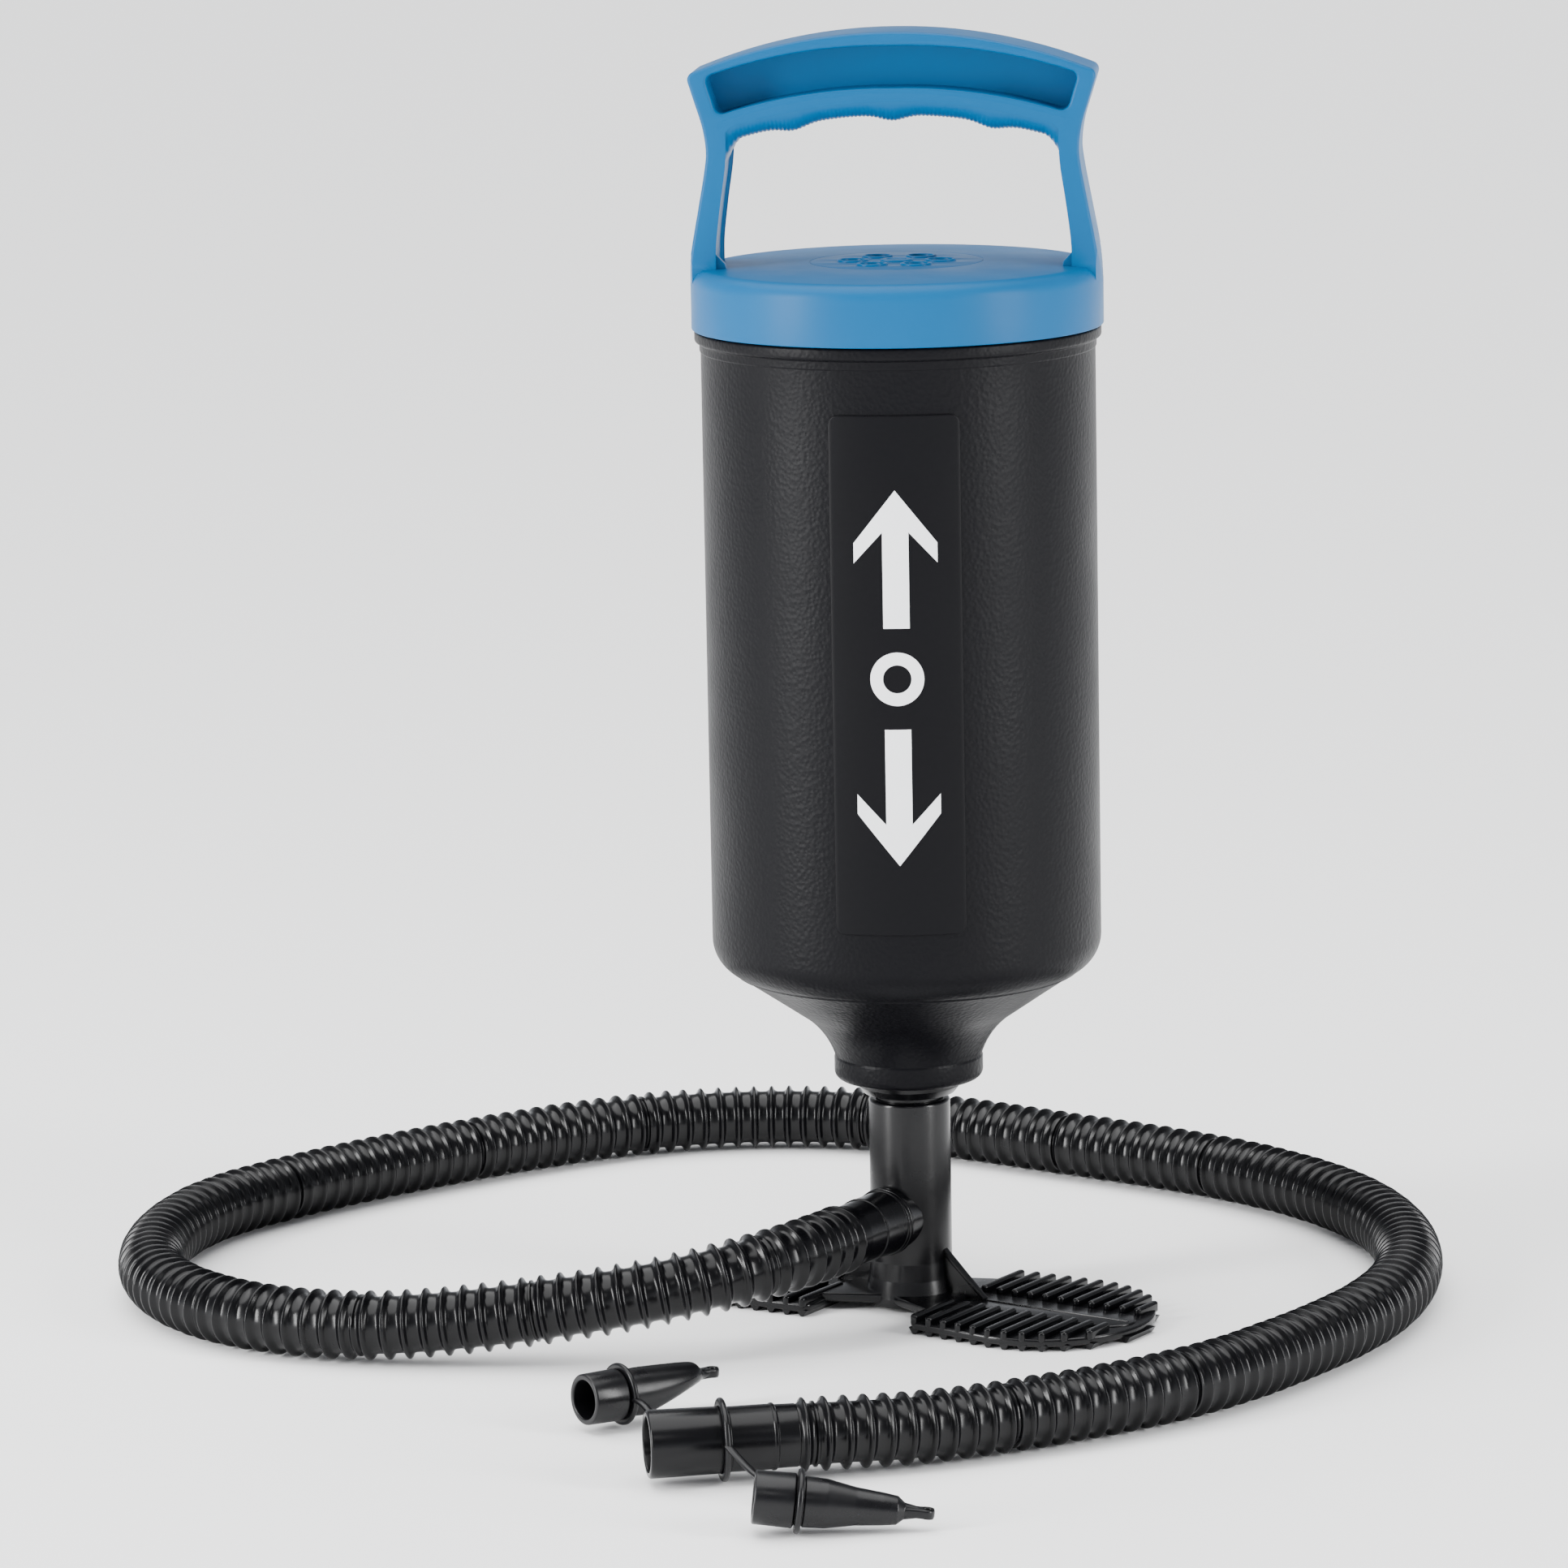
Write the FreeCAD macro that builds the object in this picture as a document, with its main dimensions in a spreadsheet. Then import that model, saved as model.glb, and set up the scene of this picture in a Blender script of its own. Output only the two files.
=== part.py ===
"""Double action hand pump: a barrel with a handle cap that slides and turns on a fixed hollow rod.

Frame: millimetres, +Z up, origin on the floor under the rod's axis. The handle lies along X and the
label faces -Y. The foot is turned about Z, so its pedals and its hose port stand askew to the handle.
"""
import FreeCAD, Part
import Sketcher
import math
import os
import re
from FreeCAD import Placement, Rotation, Vector

SIZES = {
    # foot
    "foot_turn": (-29.0, "turn of the foot about Z, degrees"),
    "tooth_depth": (1.5, "depth of the teeth under a pedal"),
    "tooth_flat": (0.5, "half width of the flat on a tooth"),
    "plate_thick": (2.1, "thickness of a pedal plate"),
    "rib_height": (2.2, "height of the tread ribs"),
    "rib_width": (2.2, "width of one tread rib"),
    "rib_pitch": (5.1, "distance from rib to rib"),
    "rib_first": (19.0, "first rib from the post's axis"),
    "spine_half": (7.5, "half width of the smooth spine"),
    "pedal_inner": (17.0, "inner edge of a pedal from the axis"),
    "pedal_root_half": (29.0, "half width of a pedal at its inner edge"),
    "pedal_tip_radius": (31.0, "radius of the pedal's round end"),
    "pedal_tip_centre": (45.0, "centre of the round end from the axis"),
    "bridge_half": (12.0, "half width of the bridge at the post"),
    "gusset_top": (15.0, "top of the gusset on the post"),
    "gusset_reach": (22.5, "reach of the gusset from the axis"),
    "gusset_thick": (2.0, "thickness of the gusset"),
    "post_radius": (11.6, "outer radius of the foot post"),
    "post_top": (60.7, "top rim of the foot post"),
    "duct_radius": (8.0, "radius of the air duct in the post"),
    "port_height": (27.0, "height of the hose port's axis"),
    "port_boss_radius": (9.4, "radius of the boss round the port"),
    "port_boss_end": (14.5, "end of the boss from the axis"),
    "stub_radius": (6.5, "outer radius of the port stub"),
    "stub_end": (31.0, "end of the stub from the axis"),
    "stub_bore": (4.6, "bore radius of the stub"),
    "plug_thick": (3.5, "thickness of the plug under the duct"),
    # rod and piston
    "rod_radius": (9.5, "outer radius of the rod"),
    "rod_bore": (7.6, "bore radius of the rod"),
    "rod_foot": (38.0, "lower end of the rod inside the post"),
    "rod_top": (267.0, "upper end of the rod inside the piston"),
    "piston_floor": (262.0, "underside of the piston"),
    "piston_radius": (52.3, "radius of the piston flanges"),
    "piston_plate": (3.0, "thickness of the piston plates"),
    "piston_top": (275.2, "top of the piston crown"),
    "piston_wall": (47.5, "inner radius of the crown's wall"),
    "groove_radius": (49.5, "radius of the bottom of the ring groove"),
    "groove_height": (4.4, "height of the ring groove"),
    "socket_radius": (12.5, "radius of the rod socket in the piston"),
    "ring_gap": (0.1, "running gap of rings and guides, radial"),
    "screw_pitch": (40.0, "pitch radius of the crown screws"),
    "screw_radius": (1.5, "shank radius of a crown screw"),
    "screw_head": (2.9, "head radius of a crown screw"),
    "inlet_pitch": (24.0, "pitch radius of the holes in the lower plate"),
    "outlet_pitch": (9.5, "pitch radius of the holes in the crown"),
    "button_low": (268.5, "underside of the button that holds the upper disc"),
    "button_head": (4.4, "radius of the button's head"),
    "button_neck": (2.8, "radius of the button's neck"),
    "valve_hole": (2.6, "radius of a valve hole in the piston"),
    "valve_lift": (1.2, "travel of every valve disc"),
    "valve_thick": (1.2, "thickness of a valve disc"),
    "valve_gap": (0.3, "clearance round a valve disc"),
    # barrel
    "barrel_radius": (55.1, "outer radius of the barrel"),
    "bore_radius": (53.0, "bore radius of the barrel"),
    "barrel_top": (294.5, "top rim of the barrel"),
    "bead_radius": (56.8, "radius of the bead under the cap"),
    "bead_low": (278.3, "lower edge of the bead"),
    "bead_high": (281.2, "upper edge of the bead"),
    "shoulder_top": (108.2, "height where the shoulder begins"),
    "crease_radius": (49.1, "radius of the crease under the shoulder"),
    "crease_height": (98.8, "height of the crease"),
    "shoulder_round": (10.5, "radius of the shoulder's section"),
    "cone_radius": (31.5, "radius where the funnel starts to curve down"),
    "cone_height": (86.8, "height where the funnel starts to curve down"),
    "cone_round": (24.0, "radius of the funnel's curve"),
    "collar_radius": (20.9, "radius of the collar"),
    "collar_top": (73.5, "height where the funnel meets the collar"),
    "collar_low": (66.7, "underside of the collar"),
    "collar_round": (2.4, "rounding of the collar's lower edge"),
    "neck_floor": (85.0, "floor of the chamber round the neck"),
    "neck_floor_radius": (24.0, "radius of the chamber floor"),
    "neck_bore": (13.1, "bore of the neck round the guide"),
    "neck_recess": (15.6, "recess for the gland ring"),
    "recess_top": (74.0, "top of the recess"),
    "gland_low": (62.4, "underside of the gland ring"),
    "gland_nose": (12.9, "radius of the gland's lower edge"),
    "gland_top": (71.0, "top of the gland's wall"),
    "label_turn": (-87.6, "direction that the label faces, degrees"),
    "label_angle": (37.3, "angle that the label spans, degrees"),
    "label_low": (119.0, "lower edge of the label"),
    "label_high": (263.0, "upper edge of the label"),
    "label_thick": (0.8, "thickness of the label panel"),
    # cap and handle
    "cap_radius": (57.5, "outer radius of the cap"),
    "cap_low": (281.5, "lower edge of the cap skirt"),
    "cap_top": (298.4, "top of the cap at its edge"),
    "cap_round": (4.5, "rounding of the cap's top edge"),
    "cap_crown": (299.4, "top of the cap at its middle"),
    "cap_inside": (55.6, "inner radius of the skirt"),
    "cap_ceiling": (296.0, "underside of the cap's top"),
    "vent_pitch": (12.2, "pitch radius of the air vents"),
    "vent_radius": (3.4, "radius of an air vent"),
    "stud_radius": (2.5, "radius of the valve stud"),
    "stud_head": (6.0, "radius of the valve stud's head"),
    "grip_depth": (26.0, "front to back depth of the handle"),
    "grip_top": (363.6, "top of the handle at its middle"),
    "grip_half": (56.8, "half length of the grip at its corners"),
    "grip_corner": (352.2, "height of the grip's corners"),
    "grip_arc": (147.0, "radius of the grip's top curve"),
    "waist_half": (51.8, "half width outside the legs' waist"),
    "waist_height": (332.0, "height of the waist"),
    "waist_round": (38.0, "radius of the leg's outer curve at the waist"),
    "leg_low_half": (56.4, "half width outside the legs above the cap"),
    "leg_low": (303.0, "height where the legs run straight down"),
    "inner_waist": (45.9, "half width of the finger opening at the waist"),
    "inner_low": (50.3, "half width of the finger opening at the cap"),
    "finger_end": (41.5, "half length of the finger grooves"),
    "finger_end_height": (334.6, "height at the ends of the finger grooves"),
    "finger_pitch": (27.4, "distance between the bumps"),
    "finger_round": (48.0, "radius of a finger groove"),
    "bump_side": (336.8, "height of the side bumps"),
    "bump_middle": (338.9, "height of the middle bump"),
    "dish_top": (359.6, "top of the grip's hollow at its middle"),
    "dish_low": (348.4, "bottom of the grip's hollow at its middle"),
    "dish_half_top": (51.6, "half length of the hollow at its top"),
    "dish_half_low": (48.4, "half length of the hollow at its bottom"),
    "dish_corner_top": (351.6, "height of the hollow's upper corners"),
    "dish_corner_low": (341.2, "height of the hollow's lower corners"),
    "web_thick": (3.0, "web between the two hollows"),
    # hose and its fittings
    "hose_radius": (9.8, "outer radius of the hose over its ribs"),
    "hose_bore": (6.9, "inner radius of the hose"),
    "cuff_radius": (9.2, "outer radius of the pump cuff"),
    "cuff_end": (35.0, "end of the pump cuff from the axis"),
    "end_cuff_radius": (8.7, "outer radius of the end cuff"),
    "end_cuff_length": (17.0, "length of the end cuff"),
    "end_axis_height": (11.1, "height of the connector's axis"),
    "end_turn": (194.5, "direction of the connector, degrees"),
    "connector_radius": (8.9, "outer radius of the connector"),
    "connector_length": (21.5, "length of the connector's sleeve"),
    "connector_bore": (7.1, "bore radius of the connector's mouth"),
    "connector_depth": (17.0, "depth of the connector's mouth"),
    "connector_tail": (5.8, "radius of the tail inside the cuff"),
    "tail_length": (12.0, "length of the tail"),
    "tail_bore": (4.4, "bore of the tail"),
    "strap_radius": (0.9, "radius of the straps"),
    "tie_width": (1.7, "width of the tether rings"),
    "tie_radius": (11.0, "outer radius of the ring on the connector"),
    "nozzle_plug": (7.0, "outer radius of a nozzle's plug"),
    "nozzle_bore": (5.2, "bore radius of a nozzle's plug"),
    "nozzle_neck": (6.3, "radius of a nozzle inside its ring"),
    "nozzle_ring": (8.4, "outer radius of a nozzle's ring"),
    "plug_length": (10.4, "length of a nozzle's plug"),
    "neck_length": (2.4, "length of the neck behind the plug"),
    "taper_length": (47.0, "length of the taper nozzle"),
    "pinch_length": (44.0, "length of the pinch nozzle"),
    "nozzle_shoulder": (6.5, "radius of a nozzle's body behind its ring"),
    "taper_middle": (4.3, "radius half way along the taper nozzle"),
    "taper_end": (38.0, "where the taper nozzle's round body ends"),
    "taper_mouth": (2.0, "outer radius of the taper nozzle's outlet"),
    "taper_hole": (1.2, "radius of the taper nozzle's outlet hole"),
    "pinch_round_end": (18.0, "where the pinch nozzle starts to flatten"),
    "pinch_lip_long": (4.6, "half width of the pinch nozzle's lip"),
    "pinch_lip_short": (1.8, "half thickness of the pinch nozzle's lip"),
    "pinch_slit": (1.0, "radius of the air way in the pinch nozzle"),
    "eye_radius": (2.3, "outer radius of the eye at a nozzle's tip"),
    "eye_hole": (1.2, "radius of the hole in the eye"),
    "tab_width": (3.8, "width of the tab that holds the eye"),
    "tab_thick": (1.6, "thickness of the tab that holds the eye"),
    "tab_reach": (9.5, "length of the tab with its eye"),
}

# The hose lies from the port round to its connector, as points of its route in X, Y and Z.
ROUTE = [
    (-17.0, -30.6, 27.0), (-23.5, -42.3, 27.0), (-35.0, -55.0, 26.0), (-50.5, -64.0, 23.7),
    (-71.5, -69.0, 20.0), (-97.5, -68.5, 15.8), (-123.5, -68.5, 12.4), (-150.5, -67.0, 10.3),
    (-181.5, -56.0, 9.8), (-206.5, -34.0, 9.8), (-221.0, -4.0, 9.8), (-223.5, 33.0, 9.8),
    (-215.0, 69.0, 9.8), (-191.5, 100.5, 9.8), (-165.0, 128.0, 9.8), (-136.0, 153.5, 9.8),
    (-104.0, 176.5, 9.8), (-72.0, 188.5, 9.8), (-36.5, 190.0, 9.8), (-1.0, 178.0, 9.8),
    (33.0, 157.0, 9.8), (66.5, 137.5, 9.8), (99.5, 113.5, 9.8), (127.0, 79.0, 9.8),
    (140.5, 40.0, 9.8), (142.5, -2.5, 9.8), (132.5, -42.5, 9.8), (111.5, -80.5, 9.8),
    (85.5, -116.0, 9.8), (49.5, -143.5, 9.8), (14.5, -163.0, 9.8), (-6.1, -171.7, 11.1),
    (-19.6, -175.2, 11.1),
]

# Each nozzle lies at the centre of its open face, with a turn about Z and a tilt to its tip.
TAPER_FACE, TAPER_TURN, TAPER_TILT = Vector(-25.2, -227.6, 10.0), 6.0, -7.0
PINCH_FACE, PINCH_TURN, PINCH_TILT = Vector(-78.8, -136.7, 9.4), 39.5, -2.0

RIB_COUNT = 12
INLET_COUNT = 12
OUTLET_COUNT = 6
VENT_COUNT = 6
SCREW_TURNS = (90, 210, 330)
LEAST_HOLLOW = 5000.0

doc = FreeCAD.newDocument("double_action_hand_pump")
sheet = doc.addObject("Spreadsheet::Sheet", "Sheet")
for number, (alias, (size, note)) in enumerate(SIZES.items(), start=1):
    sheet.set(f"A{number}", note)
    sheet.set(f"B{number}", str(size))
    sheet.setAlias(f"B{number}", alias)
doc.recompute()


def cells(text):
    """An expression on the sheet's cells, from the bare names of the cells."""
    return re.sub(r"\b([a-z]\w+)\b", r"Sheet.\1", text)


def size(text):
    """The present number of an expression on the sheet's cells."""
    return float(sheet.evalExpression(re.sub(r"\b([a-z]\w+)\b", r".\1", text)))


def bind(thing, **sizes):
    """Bind properties of a feature to expressions; a double underscore stands for a dot."""
    for name, text in sizes.items():
        thing.setExpression(name.replace("__", "."), cells(text))
    return thing


def origin_feature(body, role):
    """An origin plane or axis of a body."""
    return next(item for item in body.Origin.OriginFeatures if item.Role == role)


def arc_between(start, end, radius, turn):
    """The short arc from start to end; turn is 1 anticlockwise and -1 clockwise."""
    chord = end - start
    middle = (start + end) * 0.5
    rise = math.sqrt(max(radius ** 2 - (chord.Length / 2) ** 2, 0))
    side = Vector(-chord.y, chord.x, 0).normalize() * (rise * turn)
    centre = middle + side
    first, last = (start, end) if turn > 0 else (end, start)
    angles = [math.atan2(p.y - centre.y, p.x - centre.x) for p in (first, last)]
    return Part.ArcOfCircle(Part.Circle(centre, Vector(0, 0, 1), radius), *angles)


def add_loop(sketch, corners):
    """Add a closed outline. A corner is (x, y), or (x, y, radius, turn) when an arc leads on from it."""
    count = len(corners)
    points = [Vector(size(corner[0]), size(corner[1]), 0) for corner in corners]
    ends = []
    for index, corner in enumerate(corners):
        start, end = points[index], points[(index + 1) % count]
        if len(corner) == 2:
            edge = sketch.addGeometry(Part.LineSegment(start, end))
            ends.append((edge, 1, 2))
        else:
            edge = sketch.addGeometry(arc_between(start, end, size(corner[2]), corner[3]))
            ends.append((edge, 1, 2) if corner[3] > 0 else (edge, 2, 1))
    for index, corner in enumerate(corners):
        edge, first, last = ends[index]
        following = ends[(index + 1) % count]
        sketch.addConstraint(Sketcher.Constraint("Coincident", edge, last, following[0], following[1]))
        for kind, text, axis in (("DistanceX", corner[0], -2), ("DistanceY", corner[1], -1)):
            value = size(text)
            if abs(value) < 1e-9:
                sketch.addConstraint(Sketcher.Constraint("PointOnObject", edge, first, axis))
                continue
            rule = sketch.addConstraint(Sketcher.Constraint(kind, -1, 1, edge, first, value))
            sketch.setExpression(f"Constraints[{rule}]", cells(text))
        if len(corner) > 2:
            rule = sketch.addConstraint(Sketcher.Constraint("Radius", edge, size(corner[2])))
            sketch.setExpression(f"Constraints[{rule}]", cells(corner[2]))


def add_sketch(body, role, loops, offset=None):
    """A sketch on an origin plane of the body, lifted off it by offset."""
    sketch = body.newObject("Sketcher::SketchObject", "Sketch")
    sketch.AttachmentSupport = (origin_feature(body, role), [""])
    sketch.MapMode = "FlatFace"
    if offset:
        sketch.setExpression("AttachmentOffset.Base.z", cells(offset))
    for loop in loops:
        add_loop(sketch, loop)
    return sketch


def new_body(label, place=None):
    body = doc.addObject("PartDesign::Body", label)
    body.Label = label
    if place:
        body.Placement = place
    return body


def turned(label, corners, place=None):
    """A body turned about its own Z axis from corners given as radius and height."""
    body = new_body(label, place)
    spin = body.newObject("PartDesign::Revolution", "Turned")
    spin.Profile = add_sketch(body, "XZ_Plane", [corners])
    spin.ReferenceAxis = (spin.Profile[0], ["V_Axis"])
    spin.Angle = 360.0
    body.Tip = spin
    doc.recompute()
    return body


def ring_corners(inner, outer, low, high):
    return [(inner, low), (outer, low), (outer, high), (inner, high)]


def drilled(body, pitch, radius, count, turn=0.0):
    """Drill a ring of through holes about the body's Z axis."""
    before = body.Shape.Volume
    sketch = body.newObject("Sketcher::SketchObject", "Holes")
    sketch.AttachmentSupport = (origin_feature(body, "XY_Plane"), [""])
    sketch.MapMode = "FlatFace"
    sketch.AttachmentOffset = Placement(Vector(), Rotation(Vector(0, 0, 1), turn))
    circle = Part.Circle(Vector(size(pitch), 0, 0), Vector(0, 0, 1), size(radius))
    hole = sketch.addGeometry(circle)
    sketch.addConstraint(Sketcher.Constraint("PointOnObject", hole, 3, -1))
    for kind, parts, text in (("DistanceX", (-1, 1, hole, 3), pitch), ("Radius", (hole,), radius)):
        rule = sketch.addConstraint(Sketcher.Constraint(kind, *parts, size(text)))
        sketch.setExpression(f"Constraints[{rule}]", cells(text))
    pocket = body.newObject("PartDesign::Pocket", "Drilled")
    pocket.Profile = sketch
    pocket.Type = "ThroughAll"
    pocket.Midplane = True
    pattern = body.newObject("PartDesign::PolarPattern", "HoleRing")
    pattern.Originals = [pocket]
    pattern.Axis = (origin_feature(body, "Z_Axis"), [""])
    pattern.Angle = 360.0
    pattern.Occurrences = count
    body.Tip = pattern
    doc.recompute()
    if body.Shape.Volume >= before:
        raise RuntimeError(f"{body.Label}: its holes cut nothing")
    return body


def padded(label, loops, role, length, offset=None, middle=False):
    """A body made by padding an outline."""
    body = new_body(label)
    pad = body.newObject("PartDesign::Pad", "Padded")
    pad.Profile = add_sketch(body, role, loops, offset)
    pad.Midplane = middle
    bind(pad, Length=length)
    body.Tip = pad
    doc.recompute()
    return body


def primitive(kind, label, place=None, **sizes):
    """A Part primitive with its sizes and its height bound to the sheet."""
    thing = doc.addObject(kind, label)
    if place:
        thing.Placement = place
    return bind(thing, **sizes)


def joined(label, pieces):
    thing = doc.addObject("Part::MultiFuse", label)
    thing.Shapes = pieces
    doc.recompute()
    return thing


def combined(kind, label, base, tool):
    """A Part::Cut or Part::Common of two objects."""
    thing = doc.addObject(kind, label)
    thing.Base = base
    thing.Tool = tool
    doc.recompute()
    return thing


def mirrored(label, source, normal=Vector(1, 0, 0)):
    thing = doc.addObject("Part::Mirroring", label)
    thing.Source = source
    thing.Normal = normal
    doc.recompute()
    return thing


def along(point, direction):
    """A placement whose Z axis runs along direction from point."""
    return Placement(point, Rotation(Vector(0, 0, 1), direction))


def heading(degrees, tilt=0.0):
    """A unit vector at an angle about Z, tilted up by tilt degrees."""
    turn, rise = math.radians(degrees), math.radians(tilt)
    return Vector(math.cos(turn) * math.cos(rise), math.sin(turn) * math.cos(rise), math.sin(rise))


def smooth_path(points, share=0.45):
    """Straight runs joined by tangent arcs, each as large as its two runs allow."""
    edges, radii = [], []
    here = points[0]
    for before, corner, after in zip(points, points[1:], points[2:]):
        inward, outward = (before - corner).normalize(), (after - corner).normalize()
        half_turn = (math.pi - inward.getAngle(outward)) / 2
        reach = share * min((before - corner).Length, (after - corner).Length)
        start, end = corner + inward * reach, corner + outward * reach
        radius = reach / math.tan(half_turn)
        radii.append(radius)
        bisector = (inward + outward).normalize()
        middle = corner + bisector * (radius / math.cos(half_turn) - radius)
        edges.append(Part.LineSegment(here, start).toShape())
        edges.append(Part.Arc(start, middle, end).toShape())
        here = end
    edges.append(Part.LineSegment(here, points[-1]).toShape())
    return Part.Wire(edges), radii


def tube_along(path, first, direction, radius):
    """A solid of round section along a path."""
    rim = Part.Wire(Part.makeCircle(radius, first, direction))
    return path.makePipeShell([rim], True, False)


def foot():
    """The foot: two ribbed pedals bridged to a hollow post, with the hose port square to the pedals."""
    rib_low = "tooth_depth + plate_thick - 0.2"
    outline = [
        ("pedal_inner", "0 - pedal_root_half"),
        ("pedal_tip_centre", "0 - pedal_tip_radius", "pedal_tip_radius", 1),
        ("pedal_tip_centre + pedal_tip_radius", "0", "pedal_tip_radius", 1),
        ("pedal_tip_centre", "pedal_tip_radius"),
        ("pedal_inner", "pedal_root_half"),
    ]
    plate = padded("pedal_plate", [outline], "XY_Plane", "plate_thick", "tooth_depth")
    envelope = padded("pedal_envelope", [outline], "XY_Plane", "20")
    treads = []
    for number in range(RIB_COUNT):
        shift = f"rib_first + {number} * rib_pitch"
        for flank, low in (("front", "0 - pedal_tip_radius"), ("back", "spine_half")):
            rib = primitive("Part::Box", f"rib_{flank}_{number}", Length="rib_width",
                            Width="pedal_tip_radius - spine_half", Height="rib_height + 0.2")
            bind(rib, Placement__Base__x=f"{shift} - rib_width / 2", Placement__Base__y=low,
                 Placement__Base__z=rib_low)
            treads.append(rib)
        side = "(tooth_depth + tooth_flat) * 1.41421"
        tooth = primitive("Part::Box", f"tooth_{number}", Length=side, Height=side,
                          Width="2 * pedal_tip_radius")
        tooth.Placement = Placement(Vector(), Rotation(Vector(0, 1, 0), 45))
        bind(tooth, Placement__Base__x=f"{shift} - tooth_depth - tooth_flat",
             Placement__Base__y="0 - pedal_tip_radius", Placement__Base__z="tooth_depth")
        treads.append(tooth)
    comb = combined("Part::Common", "tread", joined("tread_comb", treads), envelope)
    bridge = padded("bridge", [[
        ("0", "0 - bridge_half"), ("pedal_inner + 1", "0 - bridge_half - 7"),
        ("pedal_inner + 1", "bridge_half + 7"), ("0", "bridge_half")]],
        "XY_Plane", "plate_thick + 1.5", "tooth_depth")
    gusset = padded("gusset", [[
        ("0", "tooth_depth + 1"), ("gusset_reach", "tooth_depth + 1"),
        ("gusset_reach", "tooth_depth + plate_thick + 1.2"), ("post_radius - 0.8", "gusset_top"),
        ("0", "gusset_top")]], "XZ_Plane", "gusset_thick", middle=True)
    pedal = joined("pedal", [plate, comb, bridge, gusset])
    other = mirrored("other_pedal", pedal)
    post = turned("post", [
        ("0", "tooth_depth"), ("post_radius + 1.6", "tooth_depth"), ("post_radius + 1.6", "6"),
        ("post_radius", "9"), ("post_radius", "post_top - 0.6"), ("post_radius - 0.6", "post_top"),
        ("0", "post_top")])
    port = Placement(Vector(0, 0, 0), Rotation(Vector(0, 0, 1), Vector(0, -1, 0)))
    boss = primitive("Part::Cylinder", "boss", port, Radius="port_boss_radius",
                     Height="port_boss_end", Placement__Base__z="port_height")
    stub = primitive("Part::Cylinder", "stub", port, Radius="stub_radius", Height="stub_end",
                     Placement__Base__z="port_height")
    duct = primitive("Part::Cylinder", "duct", Radius="duct_radius", Height="post_top",
                     Placement__Base__z="0")
    socket = primitive("Part::Cylinder", "socket", Radius="rod_radius", Height="post_top",
                       Placement__Base__z="rod_foot")
    passage = primitive("Part::Cylinder", "passage", port, Radius="stub_bore",
                        Height="stub_end + 1", Placement__Base__z="port_height")
    solid = joined("foot_solid", [pedal, other, post, boss, stub])
    whole = combined("Part::Cut", "foot_base", solid, joined("foot_hollow", [duct, socket, passage]))
    return turn_with_foot(whole)


def turn_with_foot(thing):
    """Give a piece of the foot the foot's turn about Z."""
    thing.setExpression("Placement.Rotation.Angle", cells("foot_turn"))
    thing.Placement = Placement(Vector(), Rotation(Vector(0, 0, 1), size("foot_turn")))
    return thing


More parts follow.
